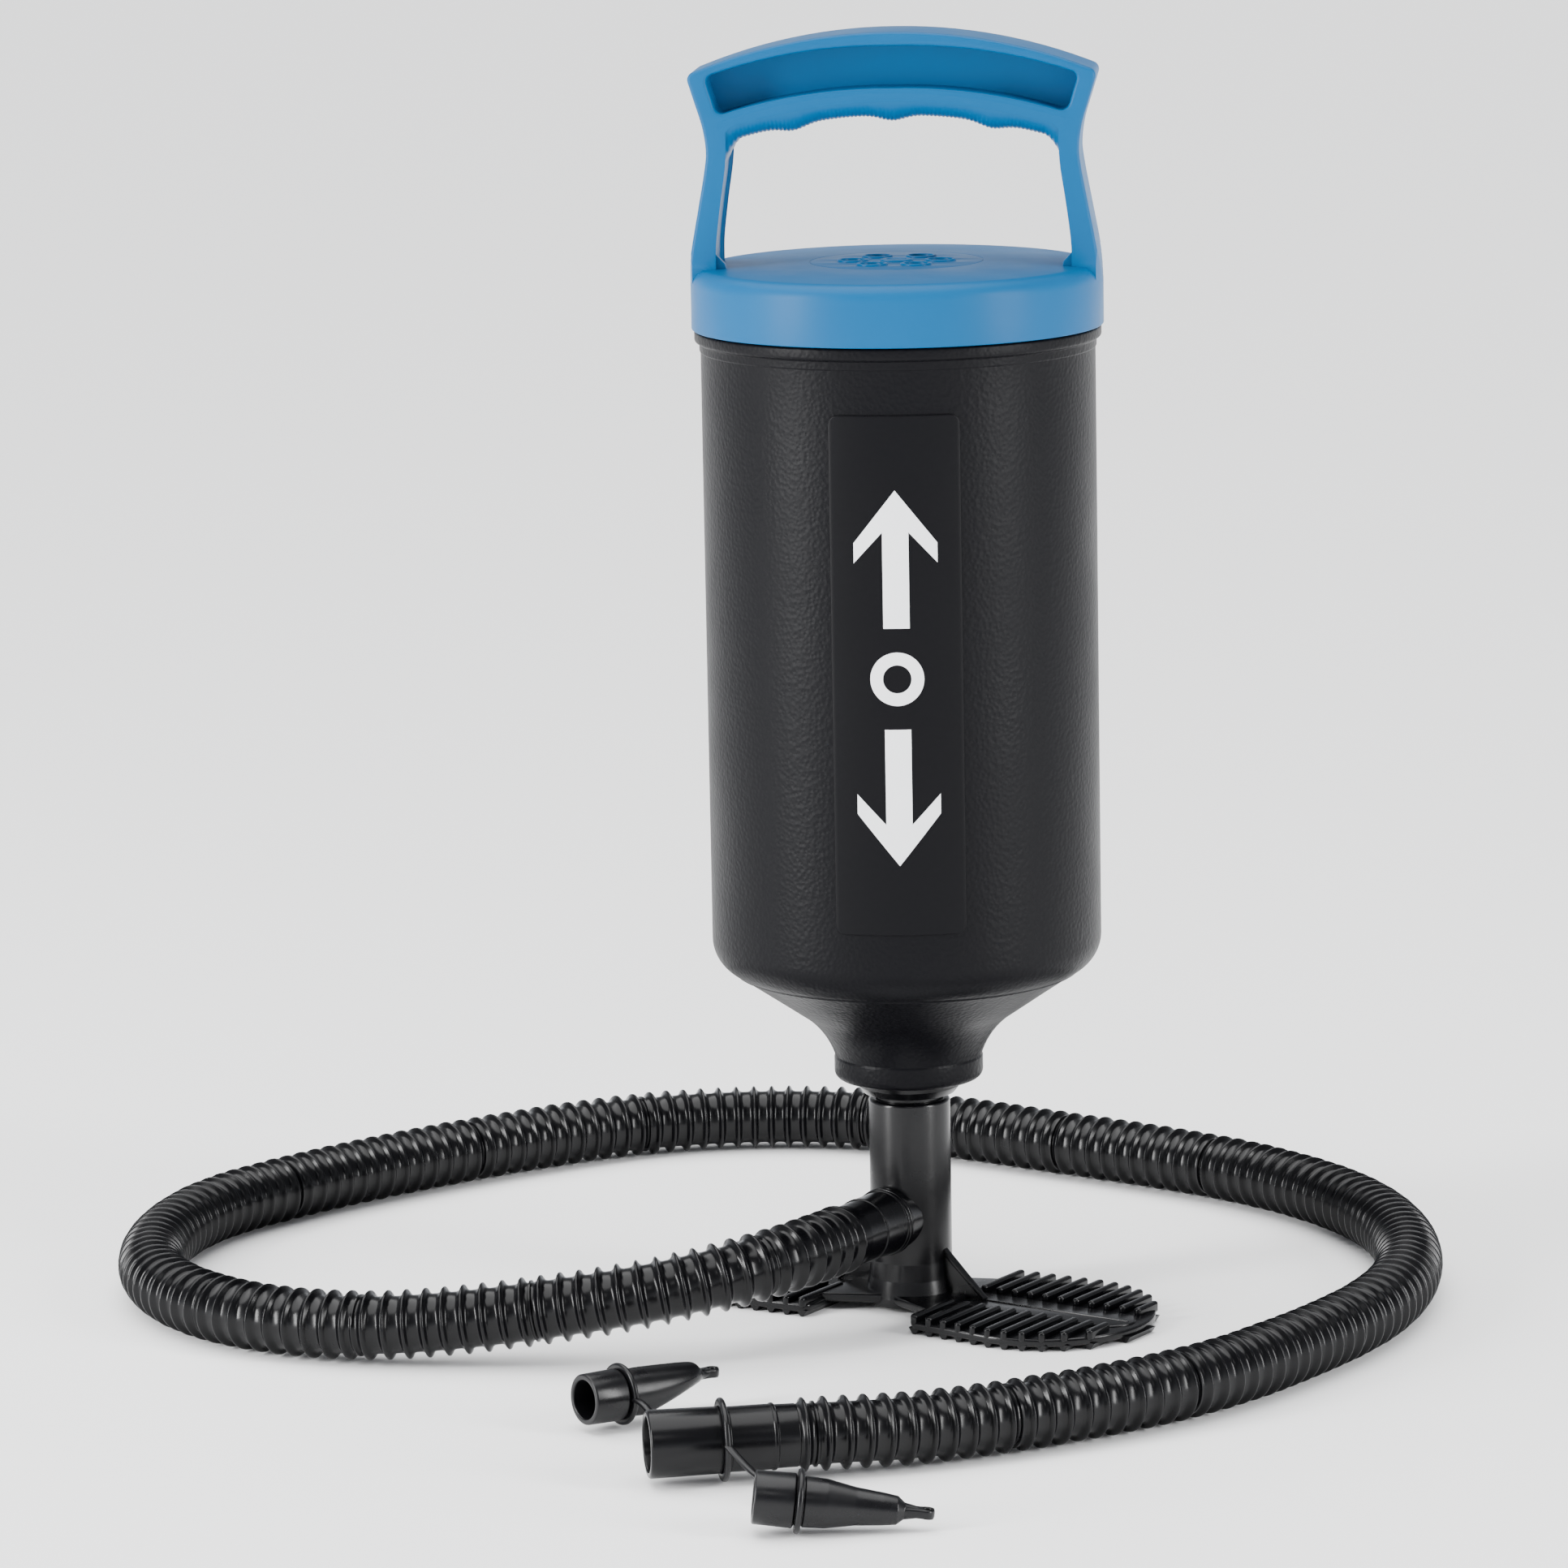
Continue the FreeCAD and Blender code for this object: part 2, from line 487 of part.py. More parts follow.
def rod_and_piston():
    """The fixed rod, the piston on its upper end and the two delivery valves inside the piston."""
    plug = turned("base_plug", [
        ("0", "tooth_depth"), ("duct_radius", "tooth_depth"), ("duct_radius", "tooth_depth + plug_thick"),
        ("0", "tooth_depth + plug_thick")])
    rod = turned("rod", ring_corners("rod_bore", "rod_radius", "rod_foot", "rod_top"))
    plate_top = "piston_floor + piston_plate"
    groove_top = f"{plate_top} + groove_height"
    lower = turned("piston_lower", [
        ("rod_radius", "piston_floor - 6"), ("socket_radius", "piston_floor - 6"),
        ("socket_radius", "piston_floor"), ("piston_radius", "piston_floor"),
        ("piston_radius", plate_top), ("socket_radius", plate_top), ("socket_radius", "rod_top"),
        ("rod_radius", "rod_top")])
    drilled(lower, "inlet_pitch", "valve_hole", INLET_COUNT)
    crown = turned("piston_crown", [
        ("0", "button_low"), ("button_head", "button_low"), ("button_head", "button_low + 1"),
        ("button_neck", "button_low + 1"), ("button_neck", "piston_top - piston_plate"),
        ("piston_wall", "piston_top - piston_plate"),
        ("piston_wall", plate_top), ("groove_radius", plate_top), ("groove_radius", groove_top),
        ("piston_radius", groove_top), ("piston_radius", "piston_top"), ("0", "piston_top")])
    drilled(crown, "outlet_pitch", "valve_hole", OUTLET_COUNT)
    pillars = []
    screws = []
    for turn in SCREW_TURNS:
        spot = heading(turn) * size("screw_pitch")
        at = Placement(spot, Rotation())
        pillar = primitive("Part::Cylinder", f"pillar_{turn}", at, Radius="screw_radius + 2",
                           Height=f"piston_top - 0.5 - ({plate_top})", Placement__Base__z=plate_top)
        pillars.append(pillar)
        hole = primitive("Part::Cylinder", f"screw_hole_{turn}", at, Radius="screw_radius",
                         Height="40", Placement__Base__z="piston_floor - 10")
        shank = primitive("Part::Cylinder", f"shank_{turn}", at, Radius="screw_radius",
                          Height="piston_top - piston_floor - 0.5",
                          Placement__Base__z="piston_floor + 0.5")
        head = primitive("Part::Cylinder", f"head_{turn}", at, Radius="screw_head", Height="2",
                         Placement__Base__z="piston_top")
        screws.append((hole, joined(f"screw_{turn}", [shank, head])))
    holes = joined("screw_holes", [hole for hole, _ in screws])
    crown_solid = joined("crown_with_pillars", [crown] + pillars)
    crown_cut = combined("Part::Cut", "crown_drilled", crown_solid, holes)
    lower_cut = combined("Part::Cut", "lower_drilled", lower, holes)
    group = doc.addObject("Part::Compound", "crown_screws")
    group.Links = [screw for _, screw in screws]
    ring = turned("piston_ring", ring_corners("groove_radius", "bore_radius - ring_gap",
                                              plate_top, groove_top))
    upper_disc = turned("upper_delivery_disc", ring_corners(
        "button_neck + valve_gap", "outlet_pitch + 4.5", "button_low + 1.05",
        "button_low + 1.05 + valve_thick"))
    lower_disc = turned("lower_delivery_disc", ring_corners(
        "socket_radius + valve_gap", "inlet_pitch + 7", f"{plate_top} + 0.05",
        f"{plate_top} + 0.05 + valve_thick"))
    return {"base_plug": plug, "rod": rod, "piston_lower": lower_cut, "piston_crown": crown_cut,
            "crown_screws": group, "piston_ring": ring, "upper_delivery_disc": upper_disc,
            "lower_delivery_disc": lower_disc}


def barrel_pieces():
    """The barrel with its funnel, the label panel and the pieces in its neck."""
    barrel = turned("barrel", [
        ("neck_recess", "collar_low"),
        ("collar_radius - collar_round", "collar_low", "collar_round", 1),
        ("collar_radius", "collar_low + collar_round"),
        ("collar_radius", "collar_top", "cone_round", -1),
        ("cone_radius", "cone_height"),
        ("crease_radius", "crease_height", "shoulder_round", 1),
        ("barrel_radius", "shoulder_top"),
        ("barrel_radius", "bead_low"), ("bead_radius", "bead_low + 0.8"),
        ("bead_radius", "bead_high - 0.8"), ("barrel_radius", "bead_high"),
        ("barrel_radius", "barrel_top"), ("bore_radius", "barrel_top"),
        ("bore_radius", "shoulder_top + 1"),
        ("crease_radius - 2.4", "crease_height + 1.6"),
        ("neck_floor_radius", "neck_floor"), ("neck_bore", "neck_floor"),
        ("neck_bore", "recess_top"), ("neck_recess", "recess_top")])
    outer = primitive("Part::Cylinder", "label_outer", Radius="barrel_radius + label_thick",
                      Height="label_high - label_low", Angle="label_angle",
                      Placement__Base__z="label_low")
    inner = primitive("Part::Cylinder", "label_inner", Radius="barrel_radius", Height="label_high",
                      Placement__Base__z="label_low - 5")
    label = combined("Part::Cut", "label_panel", outer, inner)
    facing = size("label_turn - label_angle / 2")
    label.Placement = Placement(Vector(), Rotation(Vector(0, 0, 1), facing))
    guide = turned("rod_guide", [
        ("rod_radius + ring_gap", "gland_top + 0.3"), ("neck_recess - 0.3", "gland_top + 0.3"),
        ("neck_recess - 0.3", "recess_top - 0.3"), ("neck_bore - 0.3", "recess_top - 0.3"),
        ("neck_bore - 0.3", "neck_floor + 2"), ("rod_radius + ring_gap", "neck_floor + 2")])
    gland = turned("neck_gland", [
        ("rod_radius + 0.8", "gland_low"), ("gland_nose", "gland_low"),
        ("neck_recess - 0.4", "collar_low"), ("neck_recess", "collar_low"),
        ("neck_recess", "gland_top"), ("neck_recess - 2", "gland_top"),
        ("neck_recess - 2", "gland_low + 2.6"), ("rod_radius + 0.8", "gland_low + 2.6")])
    valve = turned("neck_valve_ring", ring_corners(
        "rod_radius + ring_gap", "neck_recess - 2.3", "gland_low + 2.65",
        "gland_low + 2.65 + 2 * valve_thick"))
    return {"barrel": barrel, "label_panel": label, "rod_guide": guide, "neck_gland": gland,
            "neck_valve_ring": valve}


def handle():
    """The handle's blank: a bow on two waisted legs, hollowed at the front and the back."""
    outer = [
        ("cap_radius", "cap_ceiling - 4"),
        ("cap_radius", "cap_top"), ("leg_low_half", "leg_low"),
        ("waist_half", "waist_height - 6", "waist_round", -1), ("waist_half", "waist_height"),
        ("grip_half", "grip_corner", "grip_arc", 1),
        ("0", "grip_top", "grip_arc", 1),
        ("0 - grip_half", "grip_corner"),
        ("0 - waist_half", "waist_height", "waist_round", -1), ("0 - waist_half", "waist_height - 6"),
        ("0 - leg_low_half", "leg_low"), ("0 - cap_radius", "cap_top"),
        ("0 - cap_radius", "cap_ceiling - 4"),
        ("0 - inner_low", "cap_ceiling - 4"), ("0 - inner_low", "cap_top"),
        ("0 - inner_waist", "waist_height - 7"), ("0 - inner_waist", "waist_height"),
        ("0 - finger_end", "finger_end_height", "finger_round", -1),
        ("0 - finger_pitch", "bump_side", "finger_round", -1),
        ("0", "bump_middle", "finger_round", -1),
        ("finger_pitch", "bump_side", "finger_round", -1),
        ("finger_end", "finger_end_height"),
        ("inner_waist", "waist_height"), ("inner_waist", "waist_height - 7"),
        ("inner_low", "cap_top"), ("inner_low", "cap_ceiling - 4")]
    blank = padded("handle_blank", [outer], "XZ_Plane", "grip_depth", middle=True)
    before = blank.Shape.Volume
    dish = [
        ("0", "dish_top", "grip_arc", 1),
        ("0 - dish_half_top", "dish_corner_top"), ("0 - dish_half_low", "dish_corner_low", "grip_arc", -1),
        ("0", "dish_low", "grip_arc", -1), ("dish_half_low", "dish_corner_low"),
        ("dish_half_top", "dish_corner_top", "grip_arc", 1)]
    hollow = blank.newObject("PartDesign::Pocket", "Hollow")
    hollow.Profile = add_sketch(blank, "XZ_Plane", [dish], "web_thick / 2")
    hollow.Reversed = True
    bind(hollow, Length="grip_depth")
    both = blank.newObject("PartDesign::Mirrored", "BothSides")
    both.Originals = [hollow]
    both.MirrorPlane = (origin_feature(blank, "XZ_Plane"), [""])
    blank.Tip = both
    doc.recompute()
    print("handle hollows take", round(before - blank.Shape.Volume), "mm3")
    if blank.Shape.Volume > before - LEAST_HOLLOW:
        raise RuntimeError("the hollows of the handle cut too little")
    limit = primitive("Part::Cylinder", "cap_limit", Radius="cap_radius", Height="400")
    return combined("Part::Common", "handle_bow", blank, limit)


def cap_pieces():
    """The cap and handle in one moulding, its gasket and the intake valve under its vents."""
    shell = turned("cap_solid", [
        ("0", "cap_low"), ("cap_radius", "cap_low"),
        ("cap_radius", "cap_top - cap_round", "cap_round", 1),
        ("cap_radius - cap_round", "cap_top"), ("vent_pitch * 2", "cap_crown"), ("0", "cap_crown")])
    solid = joined("cap_and_bow", [shell, handle()])
    inside = primitive("Part::Cylinder", "cap_inside_space", Radius="cap_inside",
                       Height="cap_ceiling - cap_low + 5", Placement__Base__z="cap_low - 5")
    hollows = [inside]
    for number in range(VENT_COUNT):
        at = heading(360 * number / VENT_COUNT) * size("vent_pitch")
        vent = primitive("Part::Cylinder", f"vent_{number}", Placement(at, Rotation()),
                         Radius="vent_radius", Height="60", Placement__Base__z="cap_low - 5")
        hollows.append(vent)
    stud_hole = primitive("Part::Cylinder", "stud_hole", Radius="stud_radius", Height="cap_crown - 0.8",
                          Placement__Base__z="0")
    cap = combined("Part::Cut", "handle_cap", solid, joined("cap_hollows", hollows + [stud_hole]))
    gasket = turned("cap_gasket", ring_corners("bore_radius - 1", "barrel_radius",
                                               "barrel_top", "cap_ceiling"))
    disc_low = "cap_ceiling - valve_lift - valve_thick - 0.1"
    stud = turned("valve_stud", [
        ("0", f"{disc_low} - 2"), ("stud_head", f"{disc_low} - 2"), ("stud_head", f"{disc_low} - 0.05"),
        ("stud_radius", f"{disc_low} - 0.05"), ("stud_radius", "cap_crown - 0.8"),
        ("0", "cap_crown - 0.8")])
    disc = turned("intake_disc", ring_corners("stud_radius + valve_gap", "vent_pitch + 6",
                                              disc_low, f"{disc_low} + valve_thick"))
    return {"handle_cap": cap, "cap_gasket": gasket, "valve_stud": stud, "intake_disc": disc}


def hose_pieces():
    """The hose, its cuffs and the connector at its free end."""
    port = heading(size("foot_turn") - 90)
    at_port = along(Vector(0, 0, size("port_height")), port)
    pump_cuff = turned("hose_cuff_pump", [
        ("stub_radius", "port_boss_end"), ("cuff_radius", "port_boss_end"),
        ("cuff_radius", "port_boss_end + 11"), ("cuff_radius - 0.5", "port_boss_end + 11"),
        ("cuff_radius - 0.5", "cuff_end"), ("hose_bore", "cuff_end"), ("hose_bore", "stub_end + 1"),
        ("stub_radius", "stub_end + 1")], at_port)
    points = [Vector(*point) for point in ROUTE]
    points[0] = Vector(0, 0, size("port_height")) + port * size("cuff_end")
    points[1] = points[0] + port * (points[1] - points[0]).Length
    ahead = heading(size("end_turn"))
    points[-2] = points[-1] - ahead * (points[-1] - points[-2]).Length
    path, radii = smooth_path(points)
    print("hose radii", [round(radius) for radius in radii])
    outside = tube_along(path, points[0], port, size("hose_radius"))
    inside = tube_along(path, points[0], port, size("hose_bore"))
    tube = outside.cut(inside)
    section = math.pi * (size("hose_radius") ** 2 - size("hose_bore") ** 2)
    print("hose length", round(path.Length, 1), "volume ratio", round(tube.Volume / section / path.Length, 4))
    hose = doc.addObject("Part::Feature", "hose")
    hose.Shape = tube
    at_end = along(points[-1], ahead)
    end_cuff = turned("hose_cuff_end", [
        ("connector_tail", "4"), ("hose_bore", "4"), ("hose_bore", "0"), ("end_cuff_radius", "0"),
        ("end_cuff_radius", "end_cuff_length"), ("connector_tail", "end_cuff_length")], at_end)
    mouth = "end_cuff_length + connector_length"
    connector = turned("hose_connector", [
        ("tail_bore", "end_cuff_length - tail_length"),
        ("connector_tail", "end_cuff_length - tail_length"), ("connector_tail", "end_cuff_length"),
        ("connector_radius", "end_cuff_length"), ("connector_radius", mouth),
        ("connector_bore", mouth), ("connector_bore", f"{mouth} - connector_depth"),
        ("tail_bore", f"{mouth} - connector_depth")], at_end)
    return {"hose_cuff_pump": pump_cuff, "hose": hose, "hose_cuff_end": end_cuff,
            "hose_connector": connector}, points[-1], ahead


def nozzle_axes():
    """Where each nozzle lies: the centre of its open face and the direction to its tip."""
    taper = (TAPER_FACE, heading(TAPER_TURN, TAPER_TILT))
    pinch = (PINCH_FACE, heading(PINCH_TURN, PINCH_TILT))
    return taper, pinch


def nozzles():
    """The taper nozzle and the pinch nozzle, each with a plug for the connector and a loop at its tip."""
    (taper_face, taper_way), (pinch_face, pinch_way) = nozzle_axes()
    neck_end = "plug_length + neck_length"
    start = [("nozzle_bore", "0"), ("nozzle_plug", "0"), ("nozzle_plug", "plug_length"),
             ("nozzle_neck", "plug_length"), ("nozzle_neck", neck_end)]
    taper = turned("taper_body", start + [
        ("nozzle_shoulder", neck_end), ("taper_middle", "taper_length / 2"),
        ("taper_mouth + 1.6", "taper_end - 3"), ("taper_mouth", "taper_end"),
        ("taper_hole", "taper_end"), ("taper_hole + 1", "taper_length / 2"),
        ("nozzle_bore - 1", neck_end)], along(taper_face, taper_way))
    taper_loop = tip_loop("taper", "taper_length")
    taper_loop.Placement = along(taper_face, taper_way)
    pinch = turned("pinch_body", start + [
        ("nozzle_shoulder", neck_end), ("nozzle_shoulder", "pinch_round_end"),
        ("pinch_slit * 2", "pinch_round_end"), ("pinch_slit * 2", neck_end),
        ("nozzle_bore - 1", neck_end)], along(pinch_face, pinch_way))
    base = primitive("Part::Ellipse", "pinch_base", MajorRadius="nozzle_shoulder",
                     MinorRadius="nozzle_shoulder - 0.01",
                     Placement__Base__z="pinch_round_end - 0.1")
    lip = primitive("Part::Ellipse", "pinch_lip", MajorRadius="pinch_lip_long",
                    MinorRadius="pinch_lip_short", Placement__Base__z="pinch_length - 9")
    spout = doc.addObject("Part::Loft", "pinch_spout")
    spout.Sections = [base, lip]
    spout.Solid = True
    slit = primitive("Part::Cylinder", "pinch_slit_space", Radius="pinch_slit",
                     Height="pinch_length", Placement__Base__z="5")
    blade = combined("Part::Cut", "pinch_blade",
                     joined("pinch_tip", [spout, tip_loop("pinch", "pinch_length")]), slit)
    blade.Placement = along(pinch_face, pinch_way)
    return {"nozzle_taper": joined("nozzle_taper", [taper, taper_loop]),
            "nozzle_pinch": joined("nozzle_pinch", [pinch, blade])}


def tip_loop(name, length):
    """A flat tab with an eye at the tip of a nozzle, lying along Z."""
    eye = f"{length} - eye_radius"
    across = Rotation(Vector(0, 0, 1), Vector(0, 1, 0))
    width, thick = size("tab_width"), size("tab_thick")
    rim = primitive("Part::Cylinder", f"{name}_eye_rim", Placement(Vector(0, -thick / 2, 0), across),
                    Radius="eye_radius", Height="tab_thick", Placement__Base__z=eye)
    tab = primitive("Part::Box", f"{name}_tab",
                    Placement(Vector(-width / 2, -thick / 2, 0), Rotation()),
                    Length="tab_width", Width="tab_thick", Height="tab_reach - eye_radius",
                    Placement__Base__z=f"{length} - tab_reach")
    hole = primitive("Part::Cylinder", f"{name}_eye", Placement(Vector(0, -3, 0), across),
                     Radius="eye_hole", Height="6", Placement__Base__z=eye)
    return combined("Part::Cut", f"{name}_loop", joined(f"{name}_loop_solid", [rim, tab]), hole)


def tether(end, ahead):
    """One moulding of three rings and two straps that ties both nozzles to the connector."""
    middle = size("plug_length") + size("neck_length") / 2
    main_centre = end + ahead * (size("end_cuff_length") + 1.6)
    rings = [("tie_main", main_centre, ahead, "connector_radius", "tie_radius")]
    centres = []
    for name, (face, way) in zip(("tie_taper", "tie_pinch"), nozzle_axes()):
        centre = face + way * middle
        centres.append(centre)
        rings.append((name, centre, way, "nozzle_neck + ring_gap", "nozzle_ring"))
    pieces = []
    for name, centre, way, inner, outer in rings:
        pieces.append(turned(name, ring_corners(inner, outer, "0", "tie_width"),
                             along(centre - way * (size("tie_width") / 2), way)))
    across = Vector(-ahead.y, ahead.x, 0)
    grip = (size("tie_radius") + size("connector_radius")) / 2
    small_grip = (size("nozzle_ring") + size("nozzle_neck") + 2 * size("ring_gap")) / 2
    taper_way = nozzle_axes()[0][1]
    left_of_taper = heading(TAPER_TURN + 90)
    above_taper = taper_way.cross(left_of_taper)
    to_taper = (left_of_taper + above_taper).normalize() * small_grip
    to_pinch = heading(PINCH_TURN - 90) * small_grip
    straps = [
        ("strap_taper", main_centre + across * grip, centres[0] + to_taper, Vector(-1.0, 0.5, 2.0)),
        ("strap_pinch", main_centre - across * grip, centres[1] + to_pinch, Vector(0, 0, 1.5))]
    for name, first, last, lift in straps:
        path, _ = smooth_path([first, (first + last) * 0.5 + lift, last])
        strap = doc.addObject("Part::Feature", name)
        strap.Shape = tube_along(path, first, path.Edges[0].tangentAt(0), size("strap_radius"))
        pieces.append(strap)
    return joined("nozzle_tether", pieces)


def build():
    nodes = {"foot_base": foot()}
    nodes.update(rod_and_piston())
    nodes.update(barrel_pieces())
    nodes.update(cap_pieces())
    fittings, end, ahead = hose_pieces()
    nodes.update(fittings)
    nodes.update(nozzles())
    nodes["nozzle_tether"] = tether(end, ahead)
    return nodes


def check_and_export(nodes):
    """Refuse failed features and bad shapes, then write one file for each node."""
    doc.recompute()
    for thing in doc.Objects:
        if "Invalid" in thing.State or "Error" in thing.State:
            raise RuntimeError(f"{thing.Label}: {thing.State}")
    os.makedirs("parts", exist_ok=True)
    for name, thing in nodes.items():
        thing.Label = name
        if thing.Shape.isNull() or not thing.Shape.isValid():
            raise RuntimeError(f"{name}: its shape is null or not valid")
        thing.Shape.exportStep(f"parts/{name}.step")
        print(f"{name}: {len(thing.Shape.Solids)} solid, {thing.Shape.Volume / 1000:.1f} cm3")


check_and_export(build())
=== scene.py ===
"""Double action hand pump on a pale studio floor.

The barrel, cap and handle slide and turn on the fixed rod above the ribbed foot. The pump's lengths are in
millimetres and its angles in degrees, and both are converted where each piece is made. The camera and the
studio are in metres.
"""
import bpy
import bmesh
import math
import numpy as np
from mathutils import Matrix, Vector


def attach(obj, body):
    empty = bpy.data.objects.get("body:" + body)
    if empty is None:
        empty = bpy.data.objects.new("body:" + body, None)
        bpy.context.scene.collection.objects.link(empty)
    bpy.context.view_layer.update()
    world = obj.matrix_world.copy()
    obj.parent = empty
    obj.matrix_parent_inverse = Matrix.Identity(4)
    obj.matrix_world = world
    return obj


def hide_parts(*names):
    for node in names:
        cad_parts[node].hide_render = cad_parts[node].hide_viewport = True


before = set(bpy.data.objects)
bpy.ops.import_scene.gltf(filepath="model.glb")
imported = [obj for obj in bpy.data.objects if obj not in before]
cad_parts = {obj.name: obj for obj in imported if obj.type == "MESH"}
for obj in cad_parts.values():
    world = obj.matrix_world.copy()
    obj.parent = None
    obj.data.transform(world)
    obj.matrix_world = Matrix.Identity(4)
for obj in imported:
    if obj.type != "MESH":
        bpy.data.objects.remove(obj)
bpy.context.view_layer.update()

MM = 0.001
UP = Vector((0, 0, 1))
WELD = 0.002            # points closer than this are one point
SLIVER = 0.001          # edges shorter than this are dropped

# The cap and its handle
CAP_EDGE = 298.4
LID_TOP = 299.4
VENT_RING = 12.2
VENTS = 6
GRIP_BEND = 0.00325     # how fast the grip falls away from its middle, as drop over distance squared
GRIP_PITCH = 27.4       # from finger groove to finger groove
BOW_RADIUS = 147.0
BOW_DEPTH = 13.0

# The barrel and the label on its front
BARREL_RADIUS = 55.1
INK_RADIUS = 55.92
LABEL_TURN = -87.6
LABEL_MIDDLE = 190.6

# The foot and its hose port
FOOT_TURN = -29.0
PORT_HEIGHT = 27.0
POST_RADIUS = 11.6
POST_TOP = 60.7
PORT_FACE = 14.5
PUMP_CUFF_END = 35.0
TREAD_PITCH = 5.1
TIP_MIDDLE = 45.0
TIP_RADIUS = 31.0

# The hose, as points of its route from the pump cuff round to the connector
HOSE_RADIUS = 9.8
HOSE_VALLEY = 8.0
RIB_PITCH = 5.5
ROUTE = [
    (-17.0, -30.6, 27.0), (-23.5, -42.3, 27.0), (-35.0, -55.0, 26.0), (-50.5, -64.0, 23.7),
    (-71.5, -69.0, 20.0), (-97.5, -68.5, 15.8), (-123.5, -68.5, 12.4), (-150.5, -67.0, 10.3),
    (-181.5, -56.0, 9.8), (-206.5, -34.0, 9.8), (-221.0, -4.0, 9.8), (-223.5, 33.0, 9.8),
    (-215.0, 69.0, 9.8), (-191.5, 100.5, 9.8), (-165.0, 128.0, 9.8), (-136.0, 153.5, 9.8),
    (-104.0, 176.5, 9.8), (-72.0, 188.5, 9.8), (-36.5, 190.0, 9.8), (-1.0, 178.0, 9.8),
    (33.0, 157.0, 9.8), (66.5, 137.5, 9.8), (99.5, 113.5, 9.8), (127.0, 79.0, 9.8),
    (140.5, 40.0, 9.8), (142.5, -2.5, 9.8), (132.5, -42.5, 9.8), (111.5, -80.5, 9.8),
    (85.5, -116.0, 9.8), (49.5, -143.5, 9.8), (14.5, -163.0, 9.8), (-6.1, -171.7, 11.1),
    (-19.6, -175.2, 11.1),
]
END_TURN = 194.5
END_CUFF_LENGTH = 17.0
SLEEVE_LENGTH = 21.5

# The nozzles: centre of the open face, turn about Z and tilt of the way to the tip
TAPER_FACE = Vector((-25.2, -227.6, 10.0))
TAPER_TURN = 6.0
TAPER_TILT = -7.0
TAPER_LENGTH = 47.0
PINCH_FACE = Vector((-78.8, -136.7, 9.4))
PINCH_TURN = 39.5
PINCH_TILT = -2.0
PINCH_LENGTH = 44.0
RING_PLACE = 11.6       # from a nozzle's open face to its ring of the tether


# ---------------------------------------------------------------- forms

def heading(degrees, tilt=0.0):
    """A unit vector at an angle about Z, tilted up by tilt degrees."""
    turn, rise = math.radians(degrees), math.radians(tilt)
    return Vector((math.cos(turn) * math.cos(rise), math.sin(turn) * math.cos(rise), math.sin(rise)))


def axis_place(origin, way):
    """A place whose Z runs along way and whose X lies as upright as it can."""
    side = UP.cross(way).normalized() if abs(way.z) < 0.99 else Vector((0, 1, 0))
    upright = way.cross(side)
    turn = Matrix((upright, -side, way)).transposed()
    return Matrix.Translation(origin) @ turn.to_4x4()


class Shape:
    """Points in millimetres with the faces between them."""

    def __init__(self):
        self.points = []
        self.faces = []

    def add(self, form, place=None):
        """Take in a form, which is its points and its faces, at a place."""
        points, faces = form
        first = len(self.points)
        for point in points:
            self.points.append(place @ Vector(point) if place else Vector(point))
        self.faces += [tuple(first + index for index in face) for face in faces]
        return self


def rounded(corners, steps=5, closed=True):
    """The points of an outline. A corner is (x, y), or (x, y, radius) where it is rounded."""
    points = []
    count = len(corners)
    for index, corner in enumerate(corners):
        here = Vector(corner[:2])
        at_end = not closed and index in (0, count - 1)
        if len(corner) == 2 or at_end:
            points.append(tuple(here))
            continue
        inward = (Vector(corners[index - 1][:2]) - here).normalized()
        outward = (Vector(corners[(index + 1) % count][:2]) - here).normalized()
        half = inward.angle(outward) / 2
        centre = here + (inward + outward).normalized() * (corner[2] / math.sin(half))
        first = here + inward * (corner[2] / math.tan(half)) - centre
        last = here + outward * (corner[2] / math.tan(half)) - centre
        sweep = first.angle_signed(last)
        for step in range(steps + 1):
            turn = Matrix.Rotation(-sweep * step / steps, 2)
            points.append(tuple(centre + turn @ first))
    return points


def arc(start, end, radius, turn, steps):
    """Points of the short arc after start and up to end; turn is 1 anticlockwise and -1 clockwise."""
    start, end = Vector(start), Vector(end)
    chord = end - start
    rise = math.sqrt(max(radius ** 2 - (chord.length / 2) ** 2, 0))
    side = Vector((-chord.y, chord.x)).normalized() * (rise * turn)
    centre = (start + end) / 2 + side
    sweep = 2 * math.asin(min(chord.length / 2 / radius, 1)) * turn
    spoke = start - centre
    return [tuple(centre + Matrix.Rotation(sweep * step / steps, 2) @ spoke) for step in range(1, steps + 1)]


def grid_faces(rings, around, close_rings=False, first_cap=False, last_cap=False):
    """Quads between rings of points, with end faces where they are asked for."""
    faces = []
    spans = rings if close_rings else rings - 1
    for ring in range(spans):
        here, there = ring * around, (ring + 1) % rings * around
        for step in range(around):
            after = (step + 1) % around
            faces.append((here + step, here + after, there + after, there + step))
    if first_cap:
        faces.append(tuple(range(around))[::-1])
    if last_cap:
        faces.append(tuple((rings - 1) * around + step for step in range(around)))
    return faces


def turned(profile, around=96, closed=True):
    """A form turned about Z from points given as radius and height."""
    points = []
    for radius, height in profile:
        for step in range(around):
            angle = 2 * math.pi * step / around
            points.append((radius * math.cos(angle), radius * math.sin(angle), height))
    return points, grid_faces(len(profile), around, close_rings=closed)


